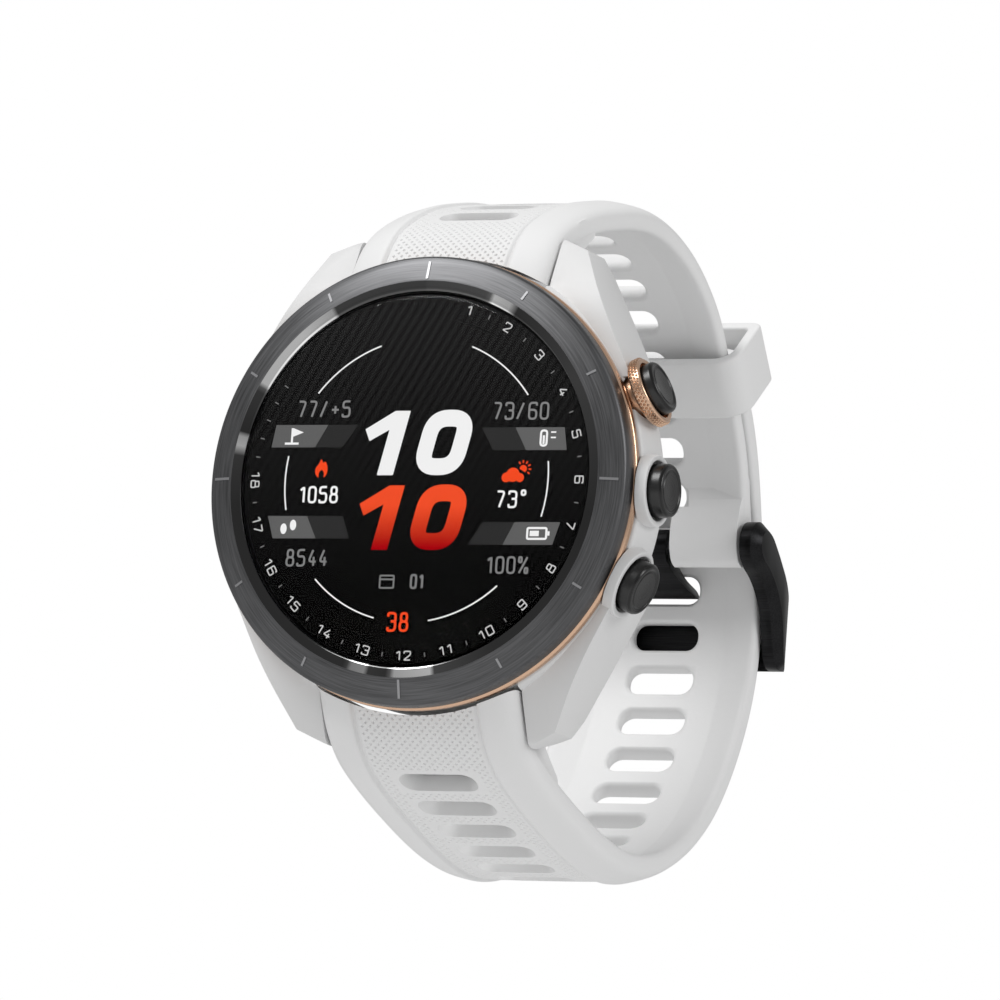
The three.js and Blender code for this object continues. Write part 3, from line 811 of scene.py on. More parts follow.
# Each figure is a list of (path, closed) in a box of width W and height H.
W, H = 0.52, 1.0
DIGITS = {
    "0": [([(0, 0), (W, 0), (W, H), (0, H)], True)],
    "1": [([(W * 0.05, 0.78), (W * 0.55, H), (W * 0.55, 0)], False)],
    "2": [([(0, 0.74), (0, H), (W, H), (W, 0.60), (0, 0.0), (W, 0)], False)],
    "3": [([(0, 0.80), (0, H), (W, H), (W, 0.53), (0.2, 0.53)], False),
          ([(0.2, 0.53), (W, 0.53), (W, 0), (0, 0), (0, 0.2)], False)],
    "4": [([(W * 0.62, H), (0, 0.26), (W * 1.08, 0.26)], False), ([(W * 0.75, 0.56), (W * 0.75, 0)], False)],
    "5": [([(W, H), (0.02, H), (0, 0.56), (W, 0.62), (W, 0), (0, 0), (0, 0.18)], False)],
    "6": [([(W, 0.82), (W, H), (0, H), (0, 0), (W, 0), (W, 0.56), (0, 0.56)], False)],
    "7": [([(0, H), (W, H), (W * 0.32, 0)], False)],
    "8": [([(W * 0.1, 0.53), (W * 0.9, 0.53), (W * 0.9, H), (W * 0.1, H)], True),
          ([(0, 0), (W, 0), (W, 0.53), (0, 0.53)], True)],
    "9": [([(0, 0.18), (0, 0), (W, 0), (W, H), (0, H), (0, 0.46), (W, 0.46)], False)],
    "/": [([(0, 0), (W * 0.8, H)], False)],
    "+": [([(0, 0.45), (W, 0.45)], False), ([(W / 2, 0.2), (W / 2, 0.70)], False)],
    "%": [([(0.05, 0), (W * 1.2, H)], False), ([(0, 0.68), (0.2, 0.68), (0.2, H), (0, H)], True),
          ([(W * 1.3 - 0.2, 0), (W * 1.3, 0), (W * 1.3, 0.32), (W * 1.3 - 0.2, 0.32)], True)],
    "'": [([(0.05, 0.78), (0.31, 0.78), (0.31, 1.06), (0.05, 1.06)], True)],
}
ADVANCE = {"1": 0.62, "%": 1.1, "'": 0.5}
USUAL_ADVANCE = 0.78


def advance(figure, height, pen, wide):
    """From the left of one figure to the left of the next."""
    return ADVANCE.get(figure, USUAL_ADVANCE) * (height - pen) * wide + pen * 0.45


def text_width(words, height, pen, wide=1.0):
    last_gap = (USUAL_ADVANCE - W) * (height - pen) * wide - pen * 0.65
    return sum(advance(f, height, pen, wide) for f in words) - last_gap


class Drawing:
    """Collects flat shapes on the face and turns them into one piece."""

    def __init__(self, name, level):
        self.name, self.base, self.top = name, level, level - PEN_DEPTH
        self.points, self.faces = [], []

    def solid(self, points, faces):
        start = len(self.points)
        self.points += points
        self.faces += [tuple(start + i for i in face) for face in faces]

    def line(self, path, width, closed=False):
        self.solid(*ribbon_solid(*pen_line(path, width, closed), closed, self.base, self.top))

    def patch(self, outline):
        n = len(outline)
        points = [(x, y, z) for y in (self.top, self.base) for x, z in outline]
        faces = [tuple(range(n)), tuple(range(2 * n - 1, n - 1, -1))]
        faces += [(i, n + i, n + (i + 1) % n, (i + 1) % n) for i in range(n)]
        self.solid(points, faces)

    def text(self, words, x, z, height, pen, wide=1.0, turn=0.0, pivot=None, bend=0.16):
        """Writes from a lower left corner. wide stretches the figures, turn rotates about pivot."""
        c, s = math.cos(math.radians(turn)), math.sin(math.radians(turn))
        across = x
        scale = height - pen
        for figure in words:
            for path, closed in DIGITS[figure]:
                spots = []
                for u, v in rounded_path(path, bend, closed):
                    px = across + pen / 2 + u * scale * wide
                    pz = z + pen / 2 + v * scale
                    if pivot:
                        du, dv = px - pivot[0], pz - pivot[1]
                        px, pz = pivot[0] + du * c + dv * s, pivot[1] - du * s + dv * c
                    spots.append((px, pz))
                self.line(spots, pen, closed)
            across += advance(figure, height, pen, wide)

    def make(self, mat, slot="display_black"):
        obj = new_piece(self.name, self.points, self.faces, 32)
        return done(obj, "watch", slot, mat)


# %% [markdown]
# ## Hole numbers round the dial
#
# The figures 1 to 18 stand every 15 degrees. Up to 7 they face outwards, and from 8 on they are
# turned round so that they still read from below.

# %% Hole numbers
numerals = Drawing("dial numbers", DIAL_Y - 0.003)
NUMBER_R, NUMBER_H, NUMBER_PEN = 16.38, 0.92, 0.115
for hole in range(1, 19):
    angle = 15 * hole
    cx, cz = NUMBER_R * math.sin(math.radians(angle)), NUMBER_R * math.cos(math.radians(angle))
    words = str(hole)
    width = text_width(words, NUMBER_H, NUMBER_PEN, 1.5)
    turn = angle if hole <= 7 else angle - 180
    numerals.text(words, cx - width / 2, cz - NUMBER_H / 2, NUMBER_H, NUMBER_PEN, 1.5, turn=turn,
                  pivot=(cx, cz), bend=0.12)
numerals.make(NUMERAL)

# %% Large figures
SLANT = 0.227
ONE = [(0.0, 0.0), (1.62, 0.0), (1.62, 6.02), (0.1, 6.02), (-2.45, 4.3), (-1.72, 3.2), (0.0, 4.25)]


def big_ten(name, x, z, mat):
    art = Drawing(name, DIAL_Y - 0.012)
    art.patch([(x + u + SLANT * v, z + v) for u, v in softened(ONE, 0.06, 2)])
    left, width, pen = x + 3.42, 4.98, 1.56
    path = [(left + pen / 2, z + pen / 2), (left + width - pen / 2, z + pen / 2),
            (left + width - pen / 2, z + 6.1 - pen / 2), (left + pen / 2, z + 6.1 - pen / 2)]
    bent = rounded_path(path, 1.5, True, 8)
    art.line([(u + SLANT * (v - z), v) for u, v in bent], pen, True)
    return art.make(mat)


big_ten("hour figures", -3.98, 0.42, SCREEN_WHITE)
big_ten("minute figures", -4.04, -6.55, RED_FADE)

# %% Small figures, arcs and chips
white_art = Drawing("small white figures", DIAL_Y - 0.006)
grey_art = Drawing("small grey figures", DIAL_Y - 0.006)
red_art = Drawing("red figures", DIAL_Y - 0.006)
TEXTS = [
    (grey_art, "77/+5", -12.5, 5.83, 1.62, 0.19, 0.93), (grey_art, "73/60", 7.35, 5.55, 1.68, 0.19, 0.93),
    (white_art, "1058", -11.75, -2.22, 1.64, 0.21, 0.9), (white_art, "73'", 8.25, -2.66, 1.66, 0.2, 0.95),
    (grey_art, "8544", -12.65, -8.15, 1.66, 0.19, 0.9), (grey_art, "100%", 7.72, -8.76, 1.66, 0.19, 0.9),
    (grey_art, "01", 0.15, -10.2, 1.42, 0.2, 0.8), (red_art, "38", -1.9, -14.18, 1.86, 0.24, 0.88)]
for art, words, x, z, height, pen, wide in TEXTS:
    art.text(words, x, z, height, pen, wide, bend=0.25)
ARC_R = 13.3
ARCS = ((-52.4, -19.5), (21.0, 53.7), (-102.3, -80.4), (82.6, 105.0), (-165.8, -134.4), (137.8, 170.3))
for first, last in ARCS:
    steps = 24
    turns = [math.radians(first + (last - first) * k / steps) for k in range(steps + 1)]
    white_art.line([(ARC_R * math.sin(a), ARC_R * math.cos(a)) for a in turns], 0.13)


def union_outline(circles, centre, floor_z, steps=64):
    """The outline of overlapping circles, cut off level at the bottom, as seen from one inner point."""
    out = []
    for k in range(steps):
        a = 2 * math.pi * k / steps
        d = np.array((math.cos(a), math.sin(a)))
        far = 0.0
        for cx, cz, r in circles:
            m = np.array((centre[0] - cx, centre[1] - cz))
            b = m @ d
            root = b * b - (m @ m - r * r)
            if root > 0:
                far = max(far, -b + math.sqrt(root))
        if d[1] < 0:
            far = min(far, (floor_z - centre[1]) / d[1])
        out.append((centre[0] + d[0] * far, centre[1] + d[1] * far))
    return out


red_art.patch(union_outline([(9.1, 0.2, 0.46), (9.75, 0.45, 0.66), (10.45, 0.18, 0.42)], (9.75, 0.2), -0.24))
sun = (10.75, 1.0)
red_art.patch([(sun[0] + 0.36 * math.cos(a), sun[1] + 0.36 * math.sin(a))
               for a in (math.radians(-60 + 16 * k) for k in range(16))])
for k in range(6):
    a = math.radians(-35 + 32 * k)
    red_art.line([(sun[0] + r * math.cos(a), sun[1] + r * math.sin(a)) for r in (0.54, 0.8)], 0.13)
FLAME = [(-0.05, 1.0), (0.12, 0.55), (0.38, 0.75), (0.62, 0.2), (0.6, -0.42), (0.25, -0.88), (0.32, -0.35),
         (0.02, 0.0), (-0.28, -0.38), (-0.22, -0.88), (-0.62, -0.45), (-0.62, 0.1), (-0.3, 0.45)]
red_art.patch([(-9.67 + x, 1.0 + z) for x, z in softened(FLAME, 0.3, 4)])

chips_dark = Drawing("label chips", DIAL_Y - 0.002)
chips_light = Drawing("label chip lights", DIAL_Y - 0.008)
# x of the upper edge, x of the lower edge, z of both, where the lit part begins, and its side
CHIPS = [
    ((-14.6, -6.25), (-14.95, -7.7), 5.15, 3.05, (-9.3, -10.5), False),
    ((-14.8, -7.15), (-14.15, -6.35), -3.4, -5.5, (-10.8, -9.75), False),
    ((6.3, 14.6), (7.6, 14.95), 4.85, 2.74, (9.7, 10.9), True),
    ((7.05, 14.8), (5.7, 14.15), -3.95, -6.05, (10.25, 9.2), True)]
for top, low, z1, z0, split, lights_right in CHIPS:
    chips_dark.patch([(top[0], z1), (top[1], z1), (low[1], z0), (low[0], z0)])
    if lights_right:
        a, b = (split[0], top[1]), (split[1], low[1])
    else:
        a, b = (top[0], split[0]), (low[0], split[1])
    chips_light.patch([(a[0], z1), (a[1], z1), (b[1], z0), (b[0], z0)])

# small pictograms: flag, thermometer, footprints, cell and calendar
PICT = 0.2
white_pict = Drawing("label pictograms", DIAL_Y - 0.03)


def frame_line(art, x0, x1, z0, z1, bend, pen=PICT):
    """The outline of a box with rounded corners."""
    art.line(rounded_path([(x0, z0), (x1, z0), (x1, z1), (x0, z1)], bend, True), pen, True)


white_pict.line([(-12.9, 3.4), (-12.9, 4.85)], PICT)
white_pict.patch([(-12.8, 4.85), (-11.75, 4.45), (-12.8, 4.05)])
white_pict.line([(-13.6, 3.4), (-12.2, 3.4)], PICT)
frame_line(white_pict, 12.3, 12.9, 3.15, 4.55, 0.28)
white_pict.line([(12.6, 3.3), (12.6, 4.1)], PICT)
white_pict.line([(13.3, 4.4), (13.8, 4.4)], 0.14)
white_pict.line([(13.3, 3.9), (13.8, 3.9)], 0.14)
for side in (0, 1):
    white_pict.patch([(-13.1 + side * 0.95 + 0.32 * math.cos(a), -4.6 + side * 0.35 + 0.5 * math.sin(a))
                      for a in (2 * math.pi * k / 20 for k in range(20))])
frame_line(white_pict, 11.6, 13.5, -5.5, -4.5, 0.15)
white_pict.line([(13.72, -5.2), (13.72, -4.8)], 0.2)
white_pict.patch([(11.85, -5.25), (12.75, -5.25), (12.75, -4.75), (11.85, -4.75)])
frame_line(grey_art, -2.9, -1.5, -10.1, -8.95, 0.15, 0.15)
grey_art.line([(-2.9, -9.3), (-1.5, -9.3)], 0.15)
for art, mat in ((white_art, SCREEN_WHITE), (grey_art, SCREEN_GREY), (red_art, SCREEN_RED),
                 (chips_dark, CHIP_DARK), (chips_light, CHIP_LIGHT), (white_pict, SCREEN_WHITE)):
    art.make(mat)

# %% [markdown]
# ## Buttons
#
# Each button is turned in one piece: a dished cap on a thin stem. The upper one stands in a rose
# gold collar whose rim is knurled, which is a ring of tiny four-sided points set out by a node tree.

# %% Button caps
CAPS = {"upper": (22.85, 24.05), "middle": (21.9, 23.5), "lower": (21.9, 23.5)}
for key, (inner, outer) in CAPS.items():
    crown = [(2.5, inner), (2.5, outer - 0.28), (2.32, outer), (2.05, outer), (1.95, outer - 0.12),
             (1.8, outer - 0.12), (1.7, outer - 0.04)]
    profile = [(0, 15.2), (STEM_R, 15.2), (STEM_R, inner), *softened(crown, 0.1, 2, False),
               (0.6, outer - 0.1), (0, outer - 0.12)]
    cap = lathe(f"button {key}", profile, (0, BUTTON_Y, 0), radial(BUTTON_ANGLES[key], 1, 0), 96)
    done(cap, f"button_{key}_body", "brushed_black", SPUN[key], f"button_{key}")

# %% Knurled collar
KNURL = RingTree("knurled rows", Per_Row="Int", Row_Gap="Float")
row = KNURL.math("FLOOR", KNURL.math("DIVIDE", KNURL.index, KNURL.inputs["Per_Row"]))
half_steps = KNURL.math("MULTIPLY", row, 0.5)
point = KNURL.node("GeometryNodeMeshCone", {
    "Vertices": 4, "Radius Top": 0.0, "Radius Bottom": 0.17 * MM, "Depth": 0.16 * MM})
KNURL.set_out(point, KNURL.math("ADD", KNURL.index, half_steps),
              KNURL.math("MULTIPLY", row, KNURL.inputs["Row_Gap"]))

crown_axis = radial(BUTTON_ANGLES["upper"], 1, 0)
rim = [(3.0, 21.9), (3.12, 21.92), (3.2, 22.05), (3.2, 22.95), (3.1, 23.1), (2.85, 23.12), (2.7, 23.0),
       (2.7, 22.2)]
profile = [(STEM_BORE_R, 20.95), (2.0, 20.95), (2.0, 21.9), *softened(rim, 0.08, 2, False),
           (STEM_BORE_R, 22.2)]
collar = lathe("crown collar", profile, (0, BUTTON_Y, 0), crown_axis, 128)
PER_ROW, ROWS = 52, 3
knurl = KNURL.grow("crown knurl", Count=PER_ROW * ROWS, Per_Row=PER_ROW, Radius=3.22 * MM, Row_Gap=0.29 * MM,
                   First_Angle=0.0, Step_Angle=2 * math.pi / PER_ROW, Material=ROSE_GOLD)
# the rows are made about Y, so they are laid onto the button's own axis
to_axis = Vector((0, 1, 0)).rotation_difference(Vector(crown_axis)).to_matrix().to_4x4()
start = Vector(radial(BUTTON_ANGLES["upper"], 22.21)) * MM
knurl.data.transform(Matrix.Translation(start) @ to_axis)
collar = joined("crown collar", [collar, knurl])
done(collar, "watch", "rose_gold", ROSE_GOLD, "button_collar_upper")
print("buttons", round(time.time() - STARTED, 1), "s")

# %% [markdown]
# ## Strap bands
#
# Each band follows its crown line round the wrist. Its section is a rule in the distance from the
# middle: a sunken dotted panel, a groove, a smooth shoulder that falls to the edge, and a thinner
# middle on the wrist side. A regular grid of points carries that rule, so each small pit is one
# point pushed in, and the slots are cut afterwards.

# %% The crown line
SMOOTH_REACH = 2.5


def crown_line(path, step):
    """Evenly spaced points on a smooth curve near the path, with tangents. The curve is first
    threaded through the points, then spaced out, then smoothed with a short bell-shaped window."""
    pts = np.array(path, float)
    pts = np.vstack([2 * pts[0] - pts[1], pts, 2 * pts[-1] - pts[-2]])
    dense = []
    for i in range(1, len(pts) - 2):
        p0, p1, p2, p3 = pts[i - 1:i + 3]
        t1 = np.hypot(*(p1 - p0)) ** 0.5
        t2 = t1 + np.hypot(*(p2 - p1)) ** 0.5
        t3 = t2 + np.hypot(*(p3 - p2)) ** 0.5
        for t in np.linspace(t1, t2, 40, endpoint=False):
            a1 = (t1 - t) / t1 * p0 + t / t1 * p1
            a2 = (t2 - t) / (t2 - t1) * p1 + (t - t1) / (t2 - t1) * p2
            a3 = (t3 - t) / (t3 - t2) * p2 + (t - t2) / (t3 - t2) * p3
            b1 = (t2 - t) / t2 * a1 + t / t2 * a2
            b2 = (t3 - t) / (t3 - t1) * a2 + (t - t1) / (t3 - t1) * a3
            dense.append((t2 - t) / (t2 - t1) * b1 + (t - t1) / (t2 - t1) * b2)
    dense = np.array(dense + [pts[-2]])
    for _ in range(2):
        gap = np.r_[0, np.cumsum(np.hypot(*np.diff(dense, axis=0).T))]
        count = int(round(gap[-1] / step))
        even = np.linspace(0, gap[-1], count + 1)
        dense = np.c_[np.interp(even, gap, dense[:, 0]), np.interp(even, gap, dense[:, 1])]
    reach = int(SMOOTH_REACH / step)
    kernel = np.exp(-0.5 * (np.arange(-reach, reach + 1) / (reach / 2.2)) ** 2)
    kernel /= kernel.sum()
    for c in (0, 1):
        before = 2 * dense[0, c] - dense[reach:0:-1, c]
        after = 2 * dense[-1, c] - dense[-2:-reach - 2:-1, c]
        dense[:, c] = np.convolve(np.r_[before, dense[:, c], after], kernel, "valid")
    tangent = np.gradient(dense, axis=0)
    tangent /= np.hypot(*tangent.T)[:, None]
    return dense, tangent


# %% The band's section
GRID = 0.2
PIT_PITCH = 4          # grid steps between pits in a row
PANEL = 6.0            # half-width of the dotted panel
PIT_DEPTH = 0.2
SLOT_CLEAR_ALONG, SLOT_CLEAR_ACROSS = 1.85, 4.5    # no pits nearer than this to a slot's middle


def section():
    """(x, depth) round the band, starting in the middle of the crown."""
    panel = [i * GRID for i in range(int(PANEL / GRID) + 1)]
    half = [(x, 0.22 + 0.05 * (x / PANEL) ** 2) for x in panel]
    half += [(6.1, 0.36), (6.22, 0.42), (6.34, 0.36), (6.42, 0.12), (6.55, 0.03), (6.8, 0.02), (7.2, 0.09),
             (7.7, 0.2), (8.2, 0.32), (8.7, 0.47), (9.1, 0.63), (9.4, 0.80), (9.62, 0.98), (9.8, 1.18),
             (9.92, 1.38), (9.98, 1.6), (10.0, 1.85), (10.0, 2.15), (9.97, 2.45), (9.88, 2.68),
             (9.72, 2.84), (9.5, 2.9), (9.2, 2.86), (8.7, 2.72), (8.1, 2.55), (7.5, 2.4), (6.9, 2.25),
             (6.6, 2.16), (6.4, 2.1), (6.2, 2.1), (5.4, 2.08), (4.6, 2.08), (3.8, 2.09), (3.0, 2.1),
             (2.0, 2.1), (1.0, 2.1), (0.0, 2.1)]
    return np.array(half + [(-x, t) for x, t in half[-2:0:-1]])


def make_band(name, path, side, slot_start, slot_count):
    line, tangent = crown_line(path, GRID)
    normal = np.c_[-tangent[:, 1], tangent[:, 0]] * side
    loop = section()
    rows, cols = len(line), len(loop)
    near = np.argmin(np.hypot(*(line - np.array(slot_start)).T))
    slots = [near + k * SLOT_PITCH / GRID for k in range(slot_count)]
    depth = np.repeat(loop[None, :, 1], rows, axis=0)
    xs = loop[:, 0]
    on_panel = (np.abs(xs) < PANEL - 0.1) & (loop[:, 1] < 0.4)
    column = np.round(xs / GRID).astype(int)
    pits = set()
    for j in range(rows):
        half = PIT_PITCH // 2
        if j % half:
            continue
        odd = (j // half) % 2
        gap = min(abs(j - s) for s in slots) * GRID
        for i in np.nonzero(on_panel)[0]:
            if column[i] % PIT_PITCH != (half if odd else 0):
                continue
            if gap < SLOT_CLEAR_ALONG and abs(xs[i]) < SLOT_CLEAR_ACROSS:
                continue
            depth[j, i] += PIT_DEPTH
            pits.add(j * cols + i)
    points = np.zeros((rows, cols, 3))
    points[:, :, 0] = xs[None, :]
    points[:, :, 1] = line[:, 0][:, None] - normal[:, 0][:, None] * depth
    points[:, :, 2] = line[:, 1][:, None] - normal[:, 1][:, None] * depth
    faces = []
    for j in range(rows - 1):
        a, b = j * cols, (j + 1) * cols
        for i in range(cols):
            quad = (a + i, a + (i + 1) % cols, b + (i + 1) % cols, b + i)
            deep = [k for k in range(4) if quad[k] in pits]
            if deep:
                # only the corner that holds the pit slopes, so the pit stays a small diamond
                q = quad[deep[0]:] + quad[:deep[0]]
                faces += [(q[0], q[1], q[3]), (q[1], q[2], q[3])]
            else:
                faces.append(quad)
    faces += [tuple(range(cols)), tuple((rows - 1) * cols + i for i in reversed(range(cols)))]
    band = new_piece(name, points.reshape(-1, 3), faces, BAND_CREASE)
    frames = []
    for s in slots:
        k = int(s)
        f = s - k
        frames.append((line[k] * (1 - f) + line[k + 1] * f, tangent[k], normal[k]))
    return band, frames


# %% Slots
#
# A slot is a soft stadium that opens out at both skins, so the cutter is a stack of outlines, each
# with its depth, half-width and half-height.
SLOT_STACK = [(-1.2, 4.25, 1.75), (-0.1, 4.02, 1.56), (0.22, 3.92, 1.46), (0.7, 3.62, 1.38),
              (1.2, 3.46, 1.36), (1.75, 3.44, 1.35), (1.95, 3.5, 1.42), (2.1, 3.64, 1.56),
              (2.3, 3.9, 1.82), (3.4, 4.3, 2.2)]


def slot_cutter(frames):
    points, faces, count = [], [], 0
    for centre, tangent, normal in frames:
        start = count
        n = 0
        for depth, half_w, half_h in SLOT_STACK:
            outline = rounded_box(half_w, half_h, [min(half_h * 0.92, 1.3)] * 4)
            n = len(outline)
            for u, v in outline:
                y, z = centre + tangent * v - normal * depth
                points.append((u, y, z))
            count += n
        for k in range(len(SLOT_STACK) - 1):
            a, b = start + k * n, start + (k + 1) * n
            faces += [(a + i, a + (i + 1) % n, b + (i + 1) % n, b + i) for i in range(n)]
        faces += [tuple(start + i for i in range(n)), tuple(count - 1 - i for i in range(n))]
    return new_piece("slots", points, faces)


HEAD = [(-8.2, 18.0), (-6.6, 20.8), (-5.0, 23.3), (-3.2, 25.0), (-0.1, 26.6), (3.0, 27.6), (3.2, 25.6),
        (1.2, 24.2), (-0.4, 22.9), (-1.7, 21.6), (-2.2, 20.0), (-3.2, 18.2)]
BARREL = [(44.3, 10.4), (45.0, 7.6), (46.1, 4.2), (45.7, 2.0), (44.2, 0.8), (42.8, 1.3), (42.1, 2.8),
          (42.1, 4.8), (42.5, 6.6), (43.2, 8.2)]


def thicken(band, name, outline, radius, steps):
    """Adds a block of the band's own width, given by its side outline."""
    lump = bevel(prism(name, softened(outline, radius, steps), -BAND_X, BAND_X, "x"), 0.3)
    return combine(band, lump, "UNION", BAND_CREASE)


def cut(band, *tools):
    for tool in tools:
        combine(band, tool, "DIFFERENCE", BAND_CREASE)
    return band


def finish_band(band, frames, side):
    thicken(band, "head", [(y, side * z) for y, z in HEAD], 0.5, 3)
    cut(band, disc("trim", STRAP_END_R, -14, 4, 256),
        rod_x("bar bore", BAR_BORE_R, -12, 12, BAR_Y, side * BAR_Z),
        block("lever opening", (5.4, 6, 1.9), (-6.2, BAR_Y + 3, side * BAR_Z)), slot_cutter(frames))


long_band, frames = make_band("long strap", LONG_PATH, -1, (-2.0, -27.0), 20)
finish_band(long_band, frames, -1)
done(long_band, "watch", "strap_silicone", SILICONE, "strap_hole_side")
short_band, frames = make_band("short strap", SHORT_PATH, 1, (-1.9, 27.0), 13)
thicken(short_band, "barrel", BARREL, 1.4, 5)
cut(short_band, block("tang notch", (5.4, 12, 10), (0, HINGE[0], 1.4)),
    rod_x("bar bore", HINGE_BORE_R, -12, 12, *HINGE))
finish_band(short_band, frames, 1)
done(short_band, "watch", "strap_silicone", SILICONE, "strap_buckle_side")
print("straps", round(time.time() - STARTED, 1), "s")

# %% [markdown]
# ## Keeper, buckle and tang
#
# The keeper is a plain loop of silicone. The buckle is a bent plate with two arms and a cross bar,
# and the tang is a narrow waisted blade. They are prisms with softened edges.

# %% Keeper


def make_keeper():
    """A loop round both bands, rounder on the wrist side than on the outer side."""
    length, half_x, half_t, wall = 6.2, 11.8, 4.2, 1.1
    outer = rounded_box(half_x, half_t, (2.6, 2.6, 0.9, 0.9))
    inner = rounded_box(half_x - wall, half_t - wall, (1.6, 1.6, 0.5, 0.5))
    n = len(outer)
    along = Vector((0, *KEEPER_DIR)).normalized()
    across = Vector((1, 0, 0))
    up = along.cross(across)
    centre = Vector((0, *KEEPER))
    points = []
    for level in (-length / 2, length / 2):
        for ring in (outer, inner):
            points += [tuple(centre + across * u + up * v + along * level) for u, v in ring]
    faces = []
    for i in range(n):
        j = (i + 1) % n
        faces += [(i, j, 2 * n + j, 2 * n + i), (n + i, 3 * n + i, 3 * n + j, n + j),
                  (i, n + i, n + j, j), (2 * n + i, 2 * n + j, 3 * n + j, 3 * n + i)]
    return bevel(new_piece("keeper", points, faces), 0.3, 4, 40)


done(make_keeper(), "keeper", "strap_silicone", SILICONE, "keeper_loop")

# %% Buckle frame and tang
HY, HZ = HINGE
ARM = [(-2.6, 0), (-2.3, 1.3), (-1.3, 2.2), (0, 2.5), (1.6, 2.0), (3.4, 0.6), (5.7, -1.5), (7.7, -3.8),
       (9.2, -6.4), (9.9, -8.4), (9.8, -10.0), (8.8, -11.0), (7.4, -11.2), (6.2, -11.1), (5.2, -10.0),
       (4.6, -8.2), (3.8, -6.0), (2.4, -4.2), (0.6, -2.9), (-1.2, -2.2), (-2.2, -1.3)]
# seen from above, with the two outer corners cut back
PLAN = [(-BUCKLE_X, -6), (BUCKLE_X, -6), (BUCKLE_X, 6.5), (10.6, 10), (-10.6, 10), (-BUCKLE_X, 6.5)]
buckle = prism("buckle", softened([(HY + y, HZ + z) for y, z in ARM], 0.9, 3), -BUCKLE_X, BUCKLE_X, "x")
bevel(buckle, 0.9, 1, 40)
combine(buckle, prism("plan", softened([(x, HY + y) for x, y in PLAN], 3.0, 8), -20, 20, "z"), "INTERSECT")
combine(buckle, block("arm gap", (20.7, 20, 40), (0, HY - 2.65, HZ)), "DIFFERENCE")
combine(buckle, block("strap gap", (20.7, 30, 20), (0, HY, HZ + 4.1)), "DIFFERENCE")
bevel(buckle, 0.12, 2, 38, 38)
combine(buckle, rod_x("pivot", HINGE_BORE_R, -12.0, 12.0, HY, HZ), "DIFFERENCE")
done(buckle, "buckle", "brushed_black", BLACK_BRUSHED, "buckle_frame")

BLADE = [(-1.7, 0.4), (-1.2, 1.4), (0, 1.8), (1.3, 1.3), (1.75, 0), (2.4, -1.6), (4.1, -2.9), (5.6, -3.5),
         (5.7, -4.3), (4.8, -4.45), (2.9, -3.9), (0.8, -2.7), (-1.0, -1.4)]
WAIST = [(-2.3, 6), (-2.3, 1.5), (-2.0, -1.2), (-2.2, -2.4), (-3.2, -4.2), (-3.2, -7)]
TANG_PLAN = WAIST + [(-x, z) for x, z in reversed(WAIST)]
tang = prism("tang", softened([(HY + y, HZ + z) for y, z in BLADE], 0.5, 3), -TANG_X, TANG_X, "x")
combine(tang, prism("waist", softened([(x, HZ + z) for x, z in TANG_PLAN], 0.5, 3), HY - 10, HY + 14, "y"),
        "INTERSECT")
bevel(tang, 0.14, 2, 38, 38)
combine(tang, rod_x("pivot", TANG_BORE_R, -6, 6, HY, HZ), "DIFFERENCE")
done(tang, "tang", "brushed_black", BLACK_BRUSHED, "buckle_tang")

# %% [markdown]
# ## Finishes for the solids that stay
#
# The parts inside and on the back already have the right shape, so they only get a finish.

# %% Finishes on the measured solids
KEPT = {
    "lens_gasket": SEAL_RUBBER, "antenna_ring": CONTACT_GOLD, "main_board": BOARD_GREEN, "battery": CELL_FOIL,
    "vibration_motor": STEEL, "inner_chassis": CHASSIS, "sensor_board": BOARD_GREEN,
    "rear_cover": BACK_POLYMER, "rear_seal": SEAL_RUBBER, "rear_sensor_window": SENSOR_GLASS,
    "charge_contact_block": CONTACT_GOLD, "buckle_bar": STEEL}
for key in BUTTON_ANGLES:
    KEPT.update({f"switch_{key}": CHASSIS, f"button_seal_{key}": SEAL_RUBBER, f"button_clip_{key}": STEEL})
for key in ("upper", "lower"):
    KEPT.update({f"spring_bar_{key}": STEEL, f"release_pin_{key}": STEEL})
for i in range(4):
    KEPT[f"cover_screw_{i + 1}"] = STEEL
for name, mat in KEPT.items():
    for holder in NODES[name].material_slots:
        holder.material = mat
print("kept nodes", len(KEPT))

# %% [markdown]
# ## Floor, light and camera
#
# A pale floor and an even pale sky, with one large soft light above the face and a weaker one
# behind. The camera stands below the watch and looks slightly up, so the floor is far below it.

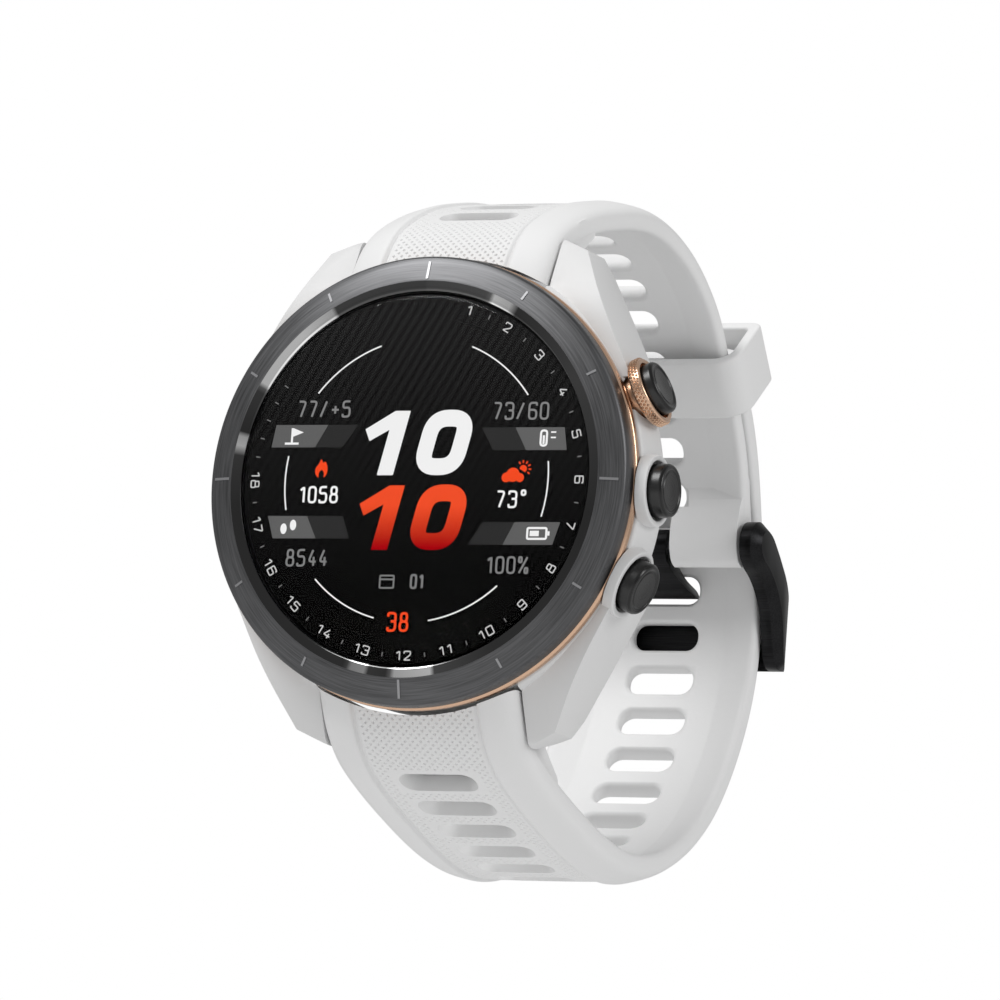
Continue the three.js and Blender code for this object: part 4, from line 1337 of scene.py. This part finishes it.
# %% Stage
FLOOR_Z, FLOOR_HALF = -160, 4000
corners = [(x * FLOOR_HALF, y * FLOOR_HALF, FLOOR_Z) for x, y in ((-1, -1), (1, -1), (1, 1), (-1, 1))]
floor = new_piece("floor", corners, [(0, 1, 2, 3)], fix_normals=False)
pale, shader, at, xyz = start_finish("pale floor", Roughness=0.8)
shader.inputs["Base Color"].default_value = (0.86, 0.86, 0.86, 1)
floor.data.materials.append(pale)

world = bpy.data.worlds.new("pale room")
bpy.context.scene.world = world
world.use_nodes = True
room = world.node_tree
seen = room.nodes.new("ShaderNodeLightPath")
share = room.nodes.new("ShaderNodeMath")
share.operation = "MULTIPLY_ADD"
room.links.new(seen.outputs["Is Camera Ray"], share.inputs[0])
SEEN_LIGHT, CAST_LIGHT = 1.0, 0.42    # the sky as the camera sees it, and as it lights the watch
share.inputs[1].default_value, share.inputs[2].default_value = SEEN_LIGHT - CAST_LIGHT, CAST_LIGHT
room.nodes["Background"].inputs["Color"].default_value = (1.0, 1.0, 1.0, 1)
room.links.new(share.outputs[0], room.nodes["Background"].inputs["Strength"])


def soft_light(name, place, target, size, watts):
    data = bpy.data.lights.new(name, "AREA")
    data.shape, data.size, data.energy = "DISK", size, watts
    lamp = bpy.data.objects.new(name, data)
    bpy.context.scene.collection.objects.link(lamp)
    lamp.location = place
    lamp.rotation_euler = (Vector(target) - Vector(place)).to_track_quat("-Z", "Y").to_euler()
    return lamp


soft_light("key", (-0.35, -0.55, 0.75), (0, 0.02, 0), 0.5, 6.0)
soft_light("side", (0.8, -0.1, 0.35), (0, 0.02, 0), 0.4, 2.0)

lens = bpy.data.cameras.new("camera")
lens.lens, lens.sensor_width = 297.4, 36.0
lens.clip_start, lens.clip_end = 0.05, 20.0
camera = bpy.data.objects.new("camera", lens)
bpy.context.scene.collection.objects.link(camera)
right, up, back = (0.91318, 0.40171, 0.06891), (-0.00011, -0.16882, 0.98565), (0.40757, -0.90007, -0.15411)
pose = Matrix((right, up, back)).transposed().to_4x4()
pose.translation = Vector((0.31687, -0.69241, -0.11845))
camera.matrix_world = pose
bpy.context.scene.camera = camera
bpy.context.scene.view_settings.view_transform = "Standard"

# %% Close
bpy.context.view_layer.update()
print("seconds", round(time.time() - STARTED, 1))
